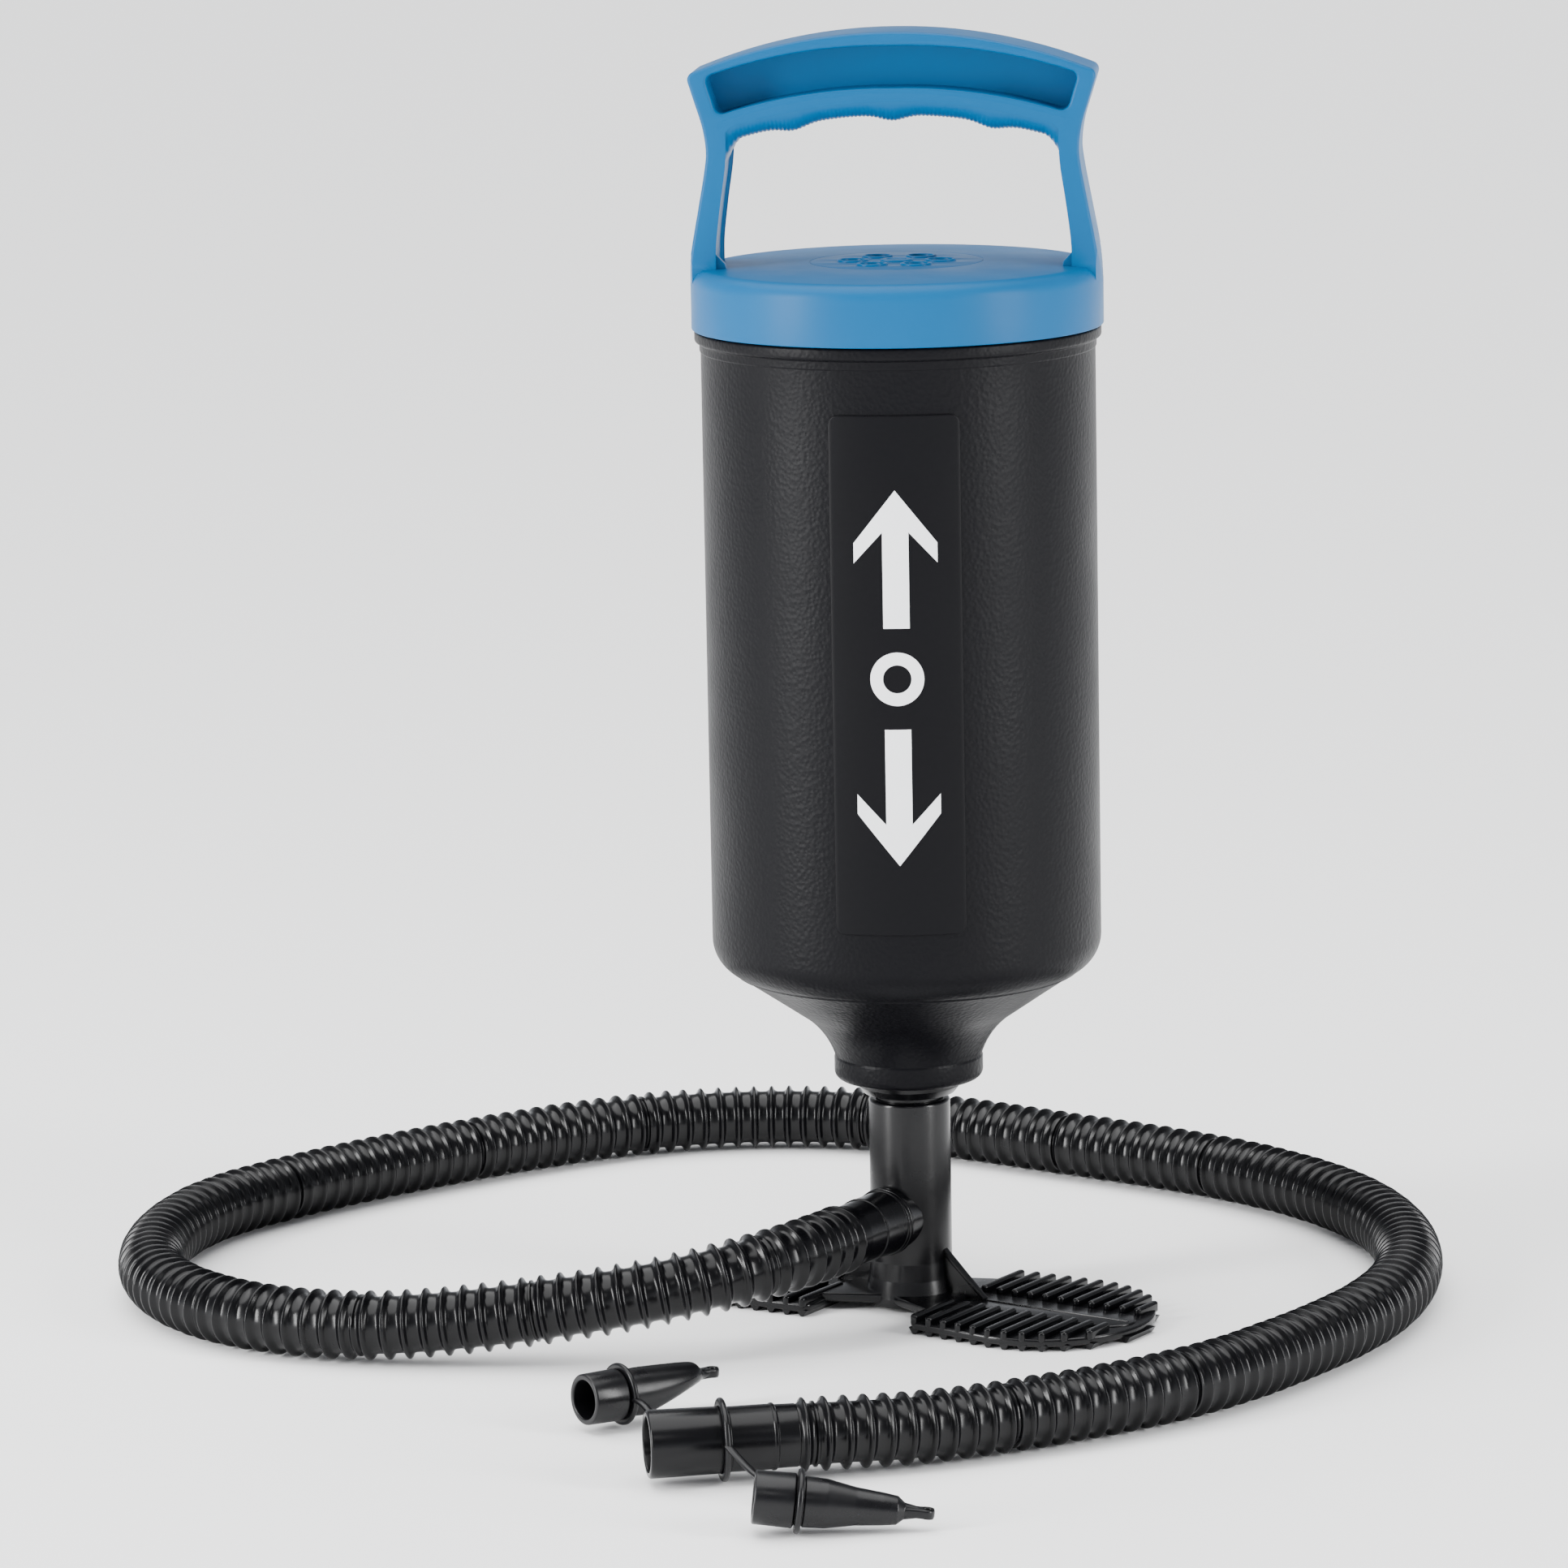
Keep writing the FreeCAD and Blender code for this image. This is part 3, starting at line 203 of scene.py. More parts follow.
def slab(loops, low, high, rounding=0.0, steps=2):
    """A flat form with the first loop as its outline and the others as holes, its edges rounded."""
    curve = bpy.data.curves.new("outline", "CURVE")
    curve.dimensions = "2D"
    curve.fill_mode = "BOTH"
    curve.extrude = (high - low) / 2 - rounding
    curve.bevel_depth = rounding
    curve.bevel_resolution = steps
    curve.offset = -rounding
    for loop in loops:
        spline = curve.splines.new("POLY")
        spline.points.add(len(loop) - 1)
        for point, (x, y) in zip(spline.points, loop):
            point.co = (x, y, 0, 1)
        spline.use_cyclic_u = True
    holder = bpy.data.objects.new("outline", curve)
    mesh = bpy.data.meshes.new_from_object(holder)
    points = [(v.co.x, v.co.y, v.co.z + (low + high) / 2) for v in mesh.vertices]
    faces = [tuple(face.vertices) for face in mesh.polygons]
    bpy.data.objects.remove(holder)
    bpy.data.curves.remove(curve)
    bpy.data.meshes.remove(mesh)
    return points, faces


def line_of(points):
    """The smooth line of a route's NURBS spline, in millimetres."""
    curve = bpy.data.curves.new("line", "CURVE")
    curve.dimensions = "3D"
    curve.resolution_u = 24
    spline = curve.splines.new("NURBS")
    spline.points.add(len(points) - 1)
    for point, place in zip(spline.points, points):
        point.co = (*place, 1)
    spline.order_u = 3
    spline.use_endpoint_u = True
    holder = bpy.data.objects.new("line", curve)
    mesh = bpy.data.meshes.new_from_object(holder)
    line = np.array([v.co for v in mesh.vertices])
    bpy.data.objects.remove(holder)
    bpy.data.curves.remove(curve)
    bpy.data.meshes.remove(mesh)
    return line


def swept(line, stations, around):
    """A tube along a line. A station is (distance, half width, half height) of its oval section."""
    steps = np.linalg.norm(np.diff(line, axis=0), axis=1)
    run = np.concatenate([[0], np.cumsum(steps)])
    tangents = np.gradient(line, run, axis=0)
    points = []
    for distance, wide, high in stations:
        centre = Vector([np.interp(distance, run, line[:, axis]) for axis in range(3)])
        way = Vector([np.interp(distance, run, tangents[:, axis]) for axis in range(3)]).normalized()
        side = UP.cross(way).normalized()
        upright = way.cross(side)
        for step in range(around):
            angle = 2 * math.pi * step / around
            points.append(centre + side * (wide * math.cos(angle)) + upright * (high * math.sin(angle)))
    return points, grid_faces(len(stations), around, first_cap=True, last_cap=True)


def link(thing):
    """Put an object into the scene."""
    bpy.context.scene.collection.objects.link(thing)


def piece(name, shape, material, body, replaced=(), sharp=38.0):
    """Make an object of a shape, smooth but for its sharp edges, and give it to its CAD body."""
    mesh = bpy.data.meshes.new(name)
    mesh.from_pydata([point * MM for point in shape.points], [], shape.faces)
    tidy = bmesh.new()
    tidy.from_mesh(mesh)
    bmesh.ops.remove_doubles(tidy, verts=tidy.verts, dist=WELD * MM)
    bmesh.ops.dissolve_degenerate(tidy, edges=tidy.edges, dist=SLIVER * MM)
    bmesh.ops.recalc_face_normals(tidy, faces=tidy.faces)
    tidy.to_mesh(mesh)
    tidy.free()
    mesh.shade_smooth()
    mesh.set_sharp_from_angle(angle=math.radians(sharp))
    mesh.materials.append(material)
    made = bpy.data.objects.new(name, mesh)
    link(made)
    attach(made, body)
    if replaced:
        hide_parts(*replaced)
    return made


# ---------------------------------------------------------------- materials

def shade(text):
    """A linear colour from an sRGB hex value."""
    parts = [int(text[index:index + 2], 16) / 255 for index in (0, 2, 4)]
    linear = [p / 12.92 if p <= 0.04045 else ((p + 0.055) / 1.055) ** 2.4 for p in parts]
    return (*linear, 1.0)


def add_node(tree, kind, inputs=None, **settings):
    """Add a node with its settings; each input takes a value or another node's output."""
    made = tree.nodes.new(kind)
    for name, value in settings.items():
        setattr(made, name, value)
    for name, value in (inputs or {}).items():
        if isinstance(value, bpy.types.NodeSocket):
            tree.links.new(value, made.inputs[name])
        else:
            made.inputs[name].default_value = value
    return made


def plastic(name, colour, darker, roughness, gloss_spread, grain_mm, grain_depth, grain="pebble",
            mottle_mm=30.0, specular=0.5):
    """A moulded plastic: a colour that drifts a little, uneven gloss and the grain of its mould."""
    material = bpy.data.materials.new(name)
    material.use_nodes = True
    tree = material.node_tree
    tree.nodes.clear()
    place = add_node(tree, "ShaderNodeTexCoord").outputs["Object"]
    drift = add_node(tree, "ShaderNodeTexNoise", {"Vector": place, "Scale": 1 / (mottle_mm * MM),
                                                  "Detail": 4.0, "Roughness": 0.55})
    colours = add_node(tree, "ShaderNodeMix", {"Factor": drift.outputs["Fac"], 6: shade(darker),
                                               7: shade(colour)}, data_type="RGBA")
    gloss = add_node(tree, "ShaderNodeMapRange", {
        "Value": drift.outputs["Fac"], "From Min": 0.3, "From Max": 0.7,
        "To Min": roughness - gloss_spread, "To Max": roughness + gloss_spread})
    if grain == "pebble":
        cells = add_node(tree, "ShaderNodeTexVoronoi", {"Vector": place, "Scale": 1 / (grain_mm * MM),
                                                        "Smoothness": 0.6}, feature="SMOOTH_F1")
        height = cells.outputs["Distance"]
    else:
        cells = add_node(tree, "ShaderNodeTexNoise", {"Vector": place, "Scale": 1 / (grain_mm * MM),
                                                      "Detail": 3.0})
        height = cells.outputs["Fac"]
    bump = add_node(tree, "ShaderNodeBump", {"Height": height, "Strength": grain_depth,
                                             "Distance": 0.1 * MM})
    shader = add_node(tree, "ShaderNodeBsdfPrincipled", {
        "Base Color": colours.outputs[2], "Roughness": gloss.outputs["Result"], "IOR": 1.49,
        "Specular IOR Level": specular, "Normal": bump.outputs["Normal"]})
    add_node(tree, "ShaderNodeOutputMaterial", {"Surface": shader.outputs["BSDF"]})
    return material


# Polypropylene, moulded in cyan blue: a satin skin from a lightly blasted mould. The grit of about 0.1 mm
# is drawn as 0.35 mm, so that it shows.
BLUE = plastic("blue_polypropylene_moulded", "005485", "00507F", 0.4, 0.05, 0.35, 0.12, "grit",
               specular=0.14)
# Polyethylene, blow moulded in black: a pebble grain that breaks up the light. It is about 0.9 mm and is
# drawn as 1.2 mm, so that it shows.
GRAINED = plastic("black_polyethylene_grained", "0D0D10", "0A0A0D", 0.4, 0.04, 1.2, 1.0,
                  specular=0.09)
# The same black, smooth where the label panel is: even and satin, with a faint 0.5 mm unevenness.
SATIN = plastic("black_polyethylene_satin", "0A0A0D", "08080B", 0.36, 0.03, 0.5, 0.05, "grit",
                specular=0.1)
# Polypropylene, injection moulded in black from a polished mould: glossy, with flow ripples of 6 mm.
GLOSS = plastic("black_polypropylene_glossy", "08080A", "060608", 0.24, 0.05, 6.0, 0.35, "grit",
                mottle_mm=12.0, specular=0.3)
# Flexible polyethylene of the hose: glossy on its ribs. The marks of its mould are finer than can be seen
# and are drawn as 1.2 mm.
HOSE_BLACK = plastic("black_polyethylene_hose", "060608", "050507", 0.25, 0.04, 1.2, 0.08, "grit",
                     mottle_mm=15.0, specular=0.24)
# Soft vinyl of the nozzles and their tether: a soft gloss that changes over patches of about 9 mm.
VINYL = plastic("black_vinyl_moulded", "09090C", "070709", 0.3, 0.06, 2.5, 0.14, "grit",
                mottle_mm=9.0, specular=0.3)
# Nitrile rubber of the seals and discs: matt, with a tooth of 0.4 mm.
RUBBER = plastic("black_nitrile_rubber", "232324", "1B1B1C", 0.72, 0.05, 0.4, 0.3, "grit",
                 mottle_mm=8.0, specular=0.3)
# Screen-printed white ink on the label: opaque. The tooth from a screen of about 0.1 mm is drawn as 0.3 mm.
INK = plastic("white_screen_ink", "F4F5F7", "EDEFF2", 0.5, 0.04, 0.3, 0.08, "grit")


def zinc():
    """Zinc-plated steel of the screws: a grey metal whose plating mottles its gloss at about 1.1 mm."""
    patches_per_metre = 900.0
    material = bpy.data.materials.new("zinc_plated_steel")
    material.use_nodes = True
    tree = material.node_tree
    tree.nodes.clear()
    place = add_node(tree, "ShaderNodeTexCoord").outputs["Object"]
    mottle = add_node(tree, "ShaderNodeTexNoise", {"Vector": place, "Scale": patches_per_metre,
                                                   "Detail": 4.0})
    gloss = add_node(tree, "ShaderNodeMapRange", {"Value": mottle.outputs["Fac"], "To Min": 0.25,
                                                  "To Max": 0.5})
    shader = add_node(tree, "ShaderNodeBsdfPrincipled", {
        "Base Color": shade("C8CACC"), "Metallic": 1.0, "Roughness": gloss.outputs["Result"]})
    add_node(tree, "ShaderNodeOutputMaterial", {"Surface": shader.outputs["BSDF"]})
    return material


# ---------------------------------------------------------------- camera, floor and light

def camera():
    """The camera: a long lens, a little above the pump and turned slightly to its left."""
    height, distance, aside = 0.4927, -1.844, 0.1289
    turn, dip, lean = math.radians(5.054), math.radians(10.45), math.radians(1.061)
    ahead = Vector((-math.sin(turn) * math.cos(dip), math.cos(turn) * math.cos(dip), -math.sin(dip)))
    right = Vector((math.cos(turn), math.sin(turn), 0))
    upright = right.cross(ahead)
    across = right * math.cos(lean) - upright * math.sin(lean)
    over = upright * math.cos(lean) + right * math.sin(lean)
    data = bpy.data.cameras.new("camera")
    data.sensor_width = 36.0
    data.lens = 152.8
    data.clip_end = 50.0
    made = bpy.data.objects.new("camera", data)
    made.matrix_world = (Matrix.Translation((aside, distance, height))
                         @ Matrix((across, over, -ahead)).transposed().to_4x4())
    link(made)
    bpy.context.scene.camera = made


def floor():
    """A pale floor that runs out of sight."""
    reach = 12.0
    mesh = bpy.data.meshes.new("floor")
    mesh.from_pydata([(-reach, -reach, 0), (reach, -reach, 0), (reach, reach, 0), (-reach, reach, 0)],
                     [], [(0, 1, 2, 3)])
    material = bpy.data.materials.new("white_studio_paper")
    material.use_nodes = True
    shader = material.node_tree.nodes["Principled BSDF"]
    shader.inputs["Base Color"].default_value = shade("FAFAFA")
    shader.inputs["Roughness"].default_value = 0.9
    shader.inputs["Specular IOR Level"].default_value = 0.1
    mesh.materials.append(material)
    made = bpy.data.objects.new("floor", mesh)
    link(made)


def room():
    """The room round the floor: bright low down, where the floor ends, and dim above."""
    world = bpy.data.worlds.new("studio")
    world.use_nodes = True
    tree = world.node_tree
    ray = add_node(tree, "ShaderNodeTexCoord").outputs["Generated"]
    rise = add_node(tree, "ShaderNodeSeparateXYZ", {"Vector": ray}).outputs["Z"]
    fade = add_node(tree, "ShaderNodeMapRange", {"Value": rise, "From Min": 0.02, "From Max": 0.3,
                                                 "To Min": 1.75, "To Max": 0.3})
    tree.links.new(fade.outputs["Result"], tree.nodes["Background"].inputs["Strength"])
    tree.nodes["Background"].inputs["Color"].default_value = shade("F6F9FF")
    bpy.context.scene.world = world


def lamps():
    """A broad soft ceiling, a tall window on each side and a weak lamp in front."""
    sky = bpy.data.lights.new("ceiling", "SUN")
    sky.energy = 5.2
    sky.angle = math.radians(75)
    ceiling = bpy.data.objects.new("ceiling", sky)
    ceiling.rotation_euler = (math.radians(-6), math.radians(-8), 0)
    link(ceiling)
    target = Vector((0, 0, 0.17))
    for name, place, size, power in (
            ("window_left", (-1.5, -0.9, 0.6), (0.3, 1.2), 52.0),
            ("window_right", (1.5, -0.7, 0.6), (0.3, 1.2), 32.0),
            ("front", (0.2, -2.6, 1.9), (0.9, 0.5), 5.0)):
        data = bpy.data.lights.new(name, "AREA")
        data.shape = "RECTANGLE"
        data.size, data.size_y = size
        data.energy = power
        lamp = bpy.data.objects.new(name, data)
        lamp.location = place
        lamp.rotation_euler = (target - Vector(place)).to_track_quat("-Z", "Y").to_euler()
        link(lamp)


# ---------------------------------------------------------------- the hose

def rib_stations(length):
    """Stations of the corrugated wall: round ribs between flat valleys, and a mould seam now and then."""
    flank = [(-1.9, 0.0), (-1.35, 0.09), (-0.85, 0.36), (-0.48, 0.8), (-0.17, 0.99), (0.17, 0.99),
             (0.48, 0.8), (0.85, 0.36), (1.35, 0.09), (1.9, 0.0)]
    seam = [(-0.6, 0.0), (-0.25, 0.36), (0.25, 0.36), (0.6, 0.0)]
    wander = np.random.default_rng(7)
    height = HOSE_RADIUS - HOSE_VALLEY
    stations = [(0.0, HOSE_VALLEY, HOSE_VALLEY)]
    count = int(length / RIB_PITCH)
    until_seam = 6
    for rib in range(count):
        crest = (rib + 0.5) * length / count + wander.uniform(-0.12, 0.12)
        tall = height * wander.uniform(0.94, 1.0)
        stations += [(crest + shift, HOSE_VALLEY + tall * rise) for shift, rise in flank]
        until_seam -= 1
        if until_seam == 0 and rib < count - 1:
            middle = (rib + 1) * length / count
            stations += [(middle + shift, HOSE_VALLEY + height * rise) for shift, rise in seam]
            until_seam = int(wander.integers(8, 14))
    stations.append((length, HOSE_VALLEY))
    return [(station[0], station[1], station[1]) for station in stations]


def hose(line):
    """The corrugated hose, one thin wall from cuff to cuff."""
    length = float(np.linalg.norm(np.diff(line, axis=0), axis=1).sum())
    wall = Shape().add(swept(line, rib_stations(length), 44))
    return piece("hose_corrugated", wall, HOSE_BLACK, "base", ["hose"], sharp=60.0)


# ---------------------------------------------------------------- forms cut and wrapped

def sliced(form, way, places):
    """A form whose faces are cut across by planes at places along a way, so that it can be bent."""
    near = 0.0001
    mesh = bpy.data.meshes.new("uncut")
    mesh.from_pydata([tuple(point) for point in form[0]], [], form[1])
    sheet = bmesh.new()
    sheet.from_mesh(mesh)
    bpy.data.meshes.remove(mesh)
    for place in places:
        geometry = sheet.verts[:] + sheet.edges[:] + sheet.faces[:]
        bmesh.ops.bisect_plane(sheet, geom=geometry, dist=near, plane_co=Vector(way) * place, plane_no=way)
    sheet.verts.index_update()
    points = [tuple(vert.co) for vert in sheet.verts]
    faces = [tuple(vert.index for vert in face.verts) for face in sheet.faces]
    sheet.free()
    return points, faces


def wrapped(form, radius, facing):
    """A flat form, drawn as width and height with its thickness along Z, laid round an upright barrel."""
    wide = int(max(abs(point[0]) for point in form[0]))
    flat, faces = sliced(form, (1, 0, 0), range(-wide, wide + 1))
    points = []
    for x, y, z in flat:
        angle = math.radians(facing) + x / radius
        points.append(((radius + z) * math.cos(angle), (radius + z) * math.sin(angle), y))
    return points, faces


def flowing(points, steps=8):
    """A smooth line through a few points, which may have any number of values each."""
    given = [np.array(point, dtype=float) for point in points]
    knots = [2 * given[0] - given[1]] + given + [2 * given[-1] - given[-2]]
    line = []
    for before, start, end, after in zip(knots, knots[1:], knots[2:], knots[3:]):
        for step in range(steps):
            t = step / steps
            line.append(tuple(0.5 * (2 * start + (end - before) * t
                                     + (2 * before - 5 * start + 4 * end - after) * t ** 2
                                     + (3 * start - before - 3 * end + after) * t ** 3)))
    line.append(tuple(given[-1]))
    return line


def circle(radius, x=0.0, y=0.0, count=32):
    """The points of a circle."""
    angles = [2 * math.pi * step / count for step in range(count)]
    return [(x + radius * math.cos(angle), y + radius * math.sin(angle)) for angle in angles]


FACE_ON = Matrix.Rotation(math.radians(90), 4, "X")     # stands a flat outline up, facing the front


# ---------------------------------------------------------------- cap and handle

def grip_underside(x):
    """The height of the underside of the grip: grooves, serration, and the corners at the legs."""
    middle, corner_start, corner_reach, corner_drop = 340.4, 41.5, 4.4, 3.6
    bump_height, bump_spread = 1.5, 4.6
    tooth_height, tooth_pitch = 0.13, 1.1
    corner = max(abs(x) - corner_start, 0.0) / corner_reach
    sag = middle - GRIP_BEND * x * x - corner_drop * corner ** 2
    bumps = sum(math.exp(-((x - centre) / bump_spread) ** 2) for centre in (-GRIP_PITCH, 0.0, GRIP_PITCH))
    return sag - bump_height * bumps + tooth_height * math.sin(2 * math.pi * x / tooth_pitch)


def grip():
    """The finger grip: well rounded below, with four finger grooves and a fine serration across them."""
    reach, step, arc_steps = 48.0, 0.25, 9
    half_depth, round_wide = 13.03, 6.5
    count = int(2 * reach / step) + 1
    points = []
    for number in range(count):
        x = -reach + number * step
        low = grip_underside(x)
        bend = 345.4 - GRIP_BEND * x * x
        half = [(half_depth - 0.4, bend + 1.9), (half_depth, bend + 1.5)]
        for part in range(arc_steps):
            angle = math.pi / 2 * part / (arc_steps - 1)
            half.append((half_depth - round_wide * (1 - math.cos(angle)),
                         bend - (bend - low) * math.sin(angle)))
        loop = [(-y, z) for y, z in half] + half[::-1]
        points += [(x, y, z) for y, z in loop]
    return points, grid_faces(count, 2 * (arc_steps + 2), first_cap=True, last_cap=True)


def drawn_in(form):
    """The bow with the outer sides of its feet drawn in to the round of the cap."""
    skirt, flare = 57.45, 0.03
    points = []
    whole, faces = sliced(form, (0, 1, 0), range(-12, 13, 2))
    for x, y, z in whole:
        limit = skirt + flare * max(z - CAP_EDGE, 0.0)
        widest = math.sqrt(limit ** 2 - y ** 2)
        points.append((max(-widest, min(widest, x)), y, z))
    return points, faces


def arch(start, top, turn, steps):
    """The points of a shallow arch after its start, over its top and short of its mirrored end."""
    end = (-start[0], start[1])
    return arc(start, top, BOW_RADIUS, turn, steps) + arc(top, end, BOW_RADIUS, turn, steps)[:-1]


def mirrored(points):
    """The same points on the other side of the middle, in the other order."""
    return [(-x, z) for x, z in points[::-1]]


def bow():
    """The bow of the handle: its outline, the finger opening and the hollow of the grip."""
    leg = flowing([(57.3, 291.0), (57.2, 297.0), (55.9, 305.4), (53.8, 316.6), (52.1, 326.0),
                   (51.6, 331.5), (52.5, 338.0), (54.6, 345.0)])
    crest = arch((56.8, 352.4), (0, 363.6), 1, 14)
    outline = rounded(leg + [(56.9, 352.4, 2.2)] + crest + [(-56.9, 352.4, 2.2)] + mirrored(leg))
    inner_leg = flowing([(50.5, 291.0), (50.3, 298.4), (50.1, 306.0), (48.8, 316.6), (47.4, 326.0),
                         (47.0, 332.0), (47.0, 337.0)], 5)
    ceiling = [(-45.0 + 5.0 * step, 345.6 - GRIP_BEND * (5.0 * step - 45.0) ** 2) for step in range(19)]
    opening = inner_leg + ceiling[::-1] + mirrored(inner_leg)
    top = arch((51.6, 351.8), (0, 359.8), 1, 10)
    bottom = arch((-48.4, 341.2), (0, 348.4), -1, 10)
    hollow = rounded([(51.6, 351.8, 2.0)] + top + [(-51.6, 351.8, 2.0), (-48.4, 341.2, 2.4)] + bottom
                     + [(48.4, 341.2, 2.4)])
    return outline, opening, hollow


def grown(loop, reach):
    """A loop moved outwards from its middle, to bed into the wall round it."""
    middle = sum((Vector(point) for point in loop), Vector((0, 0))) / len(loop)
    points = []
    for point in loop:
        away = Vector(point) - middle
        shift = Vector((reach if away.x > 0 else -reach, reach if away.y > 0 else -reach))
        points.append(tuple(Vector(point) + shift))
    return points


def add_lid(shape):
    """The cap: a deep skirt, a top that falls to its edge, and six rimmed vents round a boss."""
    low = 296.0
    shape.add(turned(rounded([
        (23.8, low), (55.6, low, 0.6), (55.6, 281.5), (57.5, 281.5, 0.35), (57.5, CAP_EDGE, 4.5),
        (24.35, LID_TOP, 0.15), (24.1, 299.2), (23.8, 299.2)], 8), 180))
    places = [heading(360 / VENTS * number) * VENT_RING for number in range(VENTS)]
    vents = [circle(3.4, *place.xy) for place in places]
    shape.add(slab([circle(24.1, count=96)] + vents, low, LID_TOP, 0.15))
    for place in places:
        rim = rounded([(3.35, 298.9), (4.4, 298.9), (4.35, 299.9, 0.3), (3.4, 299.9, 0.35)], 3)
        shape.add(turned(rim, 32), Matrix.Translation(place))
    boss = [(0.0, 299.2), (4.6, 299.2), (4.6, 299.6), (4.2, 299.9), (3.0, 299.95), (2.6, 299.7), (0.0, 299.7)]
    shape.add(turned(boss, 32, closed=False))


def add_handle(shape):
    """The bow on its two legs, with the web inside its grip and a brace at each foot."""
    outline, opening, hollow = bow()
    web = 1.5
    stood = Shape().add(slab([outline, opening, hollow], -BOW_DEPTH, BOW_DEPTH, 1.0, 3), FACE_ON)
    shape.add(drawn_in((stood.points, stood.faces)))
    shape.add(grip())
    shape.add(slab([grown(hollow, 1.0)], -web, web), FACE_ON)
    for side in (-1, 1):
        brace = [(side * 51.0, 298.3), (side * 46.6, 298.3), (side * 46.9, 299.9), (side * 50.2, 303.4)]
        shape.add(slab([brace], 8.6, 11.2, 0.3), FACE_ON)


def cap_and_handle():
    """Cap and handle in one moulding."""
    shape = Shape()
    add_lid(shape)
    add_handle(shape)
    return piece("cap_and_handle", shape, BLUE, "barrel", ["handle_cap"], sharp=32.0)


# ---------------------------------------------------------------- barrel, label and neck

def barrel():
    """The blow-moulded barrel: a bead under the cap, a straight wall, a round shoulder and the funnel."""
    radius = BARREL_RADIUS
    upper = rounded([(53.0, 294.5), (radius, 294.5), (radius, 281.35, 0.15), (56.8, 281.1, 0.7),
                     (56.8, 278.2, 1.0), (55.45, 277.5, 0.4), (55.4, 275.4, 0.5), (radius, 275.1, 0.2),
                     (radius, 262.0)], 4, closed=False)
    wall = [(radius, 250.0 - 15.0 * step) for step in range(10)] + [(radius, 108.2)]
    shoulder = arc((radius, 108.2), (49.3, 98.9), 10.5, -1, 12)
    crease = [(49.0, 98.45), (48.7, 98.5), (48.3, 98.3)]
    funnel = [(40.0, 92.7), (32.6, 87.6)] + arc((31.5, 86.8), (20.9, 73.6), 24.0, 1, 14)
    collar = rounded([
        (20.9, 73.6), (21.15, 73.0, 0.3), (21.15, 66.7, 2.4), (15.6, 66.7), (15.6, 74.0), (13.1, 74.0),
        (13.1, 85.0), (24.0, 85.0), (46.7, 100.4), (53.0, 109.2)], 6, closed=False)
    shape = Shape().add(turned(upper + wall + shoulder + crease + funnel + collar, 180))
    return piece("barrel_grained", shape, GRAINED, "barrel", ["barrel"], sharp=30.0)


def label():
    """The smooth label panel, standing a little proud of the grain, with its corners rounded."""
    half, low, high, corner = 18.1, 119.0, 263.0, 2.6
    outline = rounded([(-half, low, corner), (half, low, corner), (half, high, corner),
                       (-half, high, corner)], 5)
    shape = Shape().add(wrapped(slab([outline], -0.3, 0.8, 0.3, 2), BARREL_RADIUS, LABEL_TURN))
    return piece("label_smooth", shape, SATIN, "barrel", ["label_panel"], sharp=40.0)


def double_action_mark():
    """A plain printed mark for a stroke each way: an arrow up, an arrow down and a ring between them."""
    thick = 0.06
    arrow = [(0.0, 52.0), (11.5, 37.5), (11.5, 32.0), (3.6, 40.5), (3.6, 14.0), (-3.6, 14.0),
             (-3.6, 40.5), (-11.5, 32.0), (-11.5, 37.5)]
    shape = Shape()
    for side in (1, -1):
        outline = [(x, LABEL_MIDDLE + side * y) for x, y in arrow]
        shape.add(wrapped(slab([outline], 0.0, thick), INK_RADIUS, LABEL_TURN))
    ring = [circle(7.4, 0.0, LABEL_MIDDLE, 48), circle(3.9, 0.0, LABEL_MIDDLE, 40)]
    shape.add(wrapped(slab(ring, 0.0, thick), INK_RADIUS, LABEL_TURN))
    return piece("label_print", shape, INK, "barrel", sharp=40.0)


def gland():
    """The gland ring that closes the neck round the rod."""
    shape = Shape().add(turned(rounded([
        (10.3, 65.0), (10.3, 62.4, 0.5), (12.9, 62.4, 0.7), (14.6, 64.6, 0.5), (15.2, 66.7), (15.6, 66.7),
        (15.6, 71.0), (13.6, 71.0), (13.6, 65.0)], 4), 96))
    return piece("neck_gland_ring", shape, GLOSS, "barrel", ["neck_gland"])


# ---------------------------------------------------------------- foot

def half_width(x):
    """Half the width of a pedal at a distance from the axis."""
    if x <= TIP_MIDDLE:
        return 29.0 + 2.0 * (x - 17.0) / 28.0
    return math.sqrt(max(TIP_RADIUS ** 2 - (x - TIP_MIDDLE) ** 2, 0.0))


def tread(x):
    """The rib across a pedal at a distance from the axis: two round-ended bars above, a long tooth below."""
    shape = Shape()
    reach = half_width(x)
    half, inner, shortest = 1.1, 7.9, 12.0
    outer = reach + 0.3
    for side in (-1, 1):
        if reach < shortest:
            continue
        ends = [(x - half, side * inner), (x + half, side * inner), (x + half, side * outer),
                (x - half, side * outer)]
        bar = rounded([(px, py, 1.05) for px, py in ends], 4)
        shape.add(slab([bar], 2.6, 5.8, 0.75, 3))
    tooth = [(-1.75, 1.9), (-0.45, 0.02), (0.45, 0.02), (1.75, 1.9)]
    points = [(x + px, side * (reach - 0.4), pz) for side in (-1, 1) for px, pz in tooth]
    return shape.add((points, [(0, 1, 2, 3), (7, 6, 5, 4), (0, 4, 5, 1), (1, 5, 6, 2), (2, 6, 7, 3),
                               (3, 7, 4, 0)]))


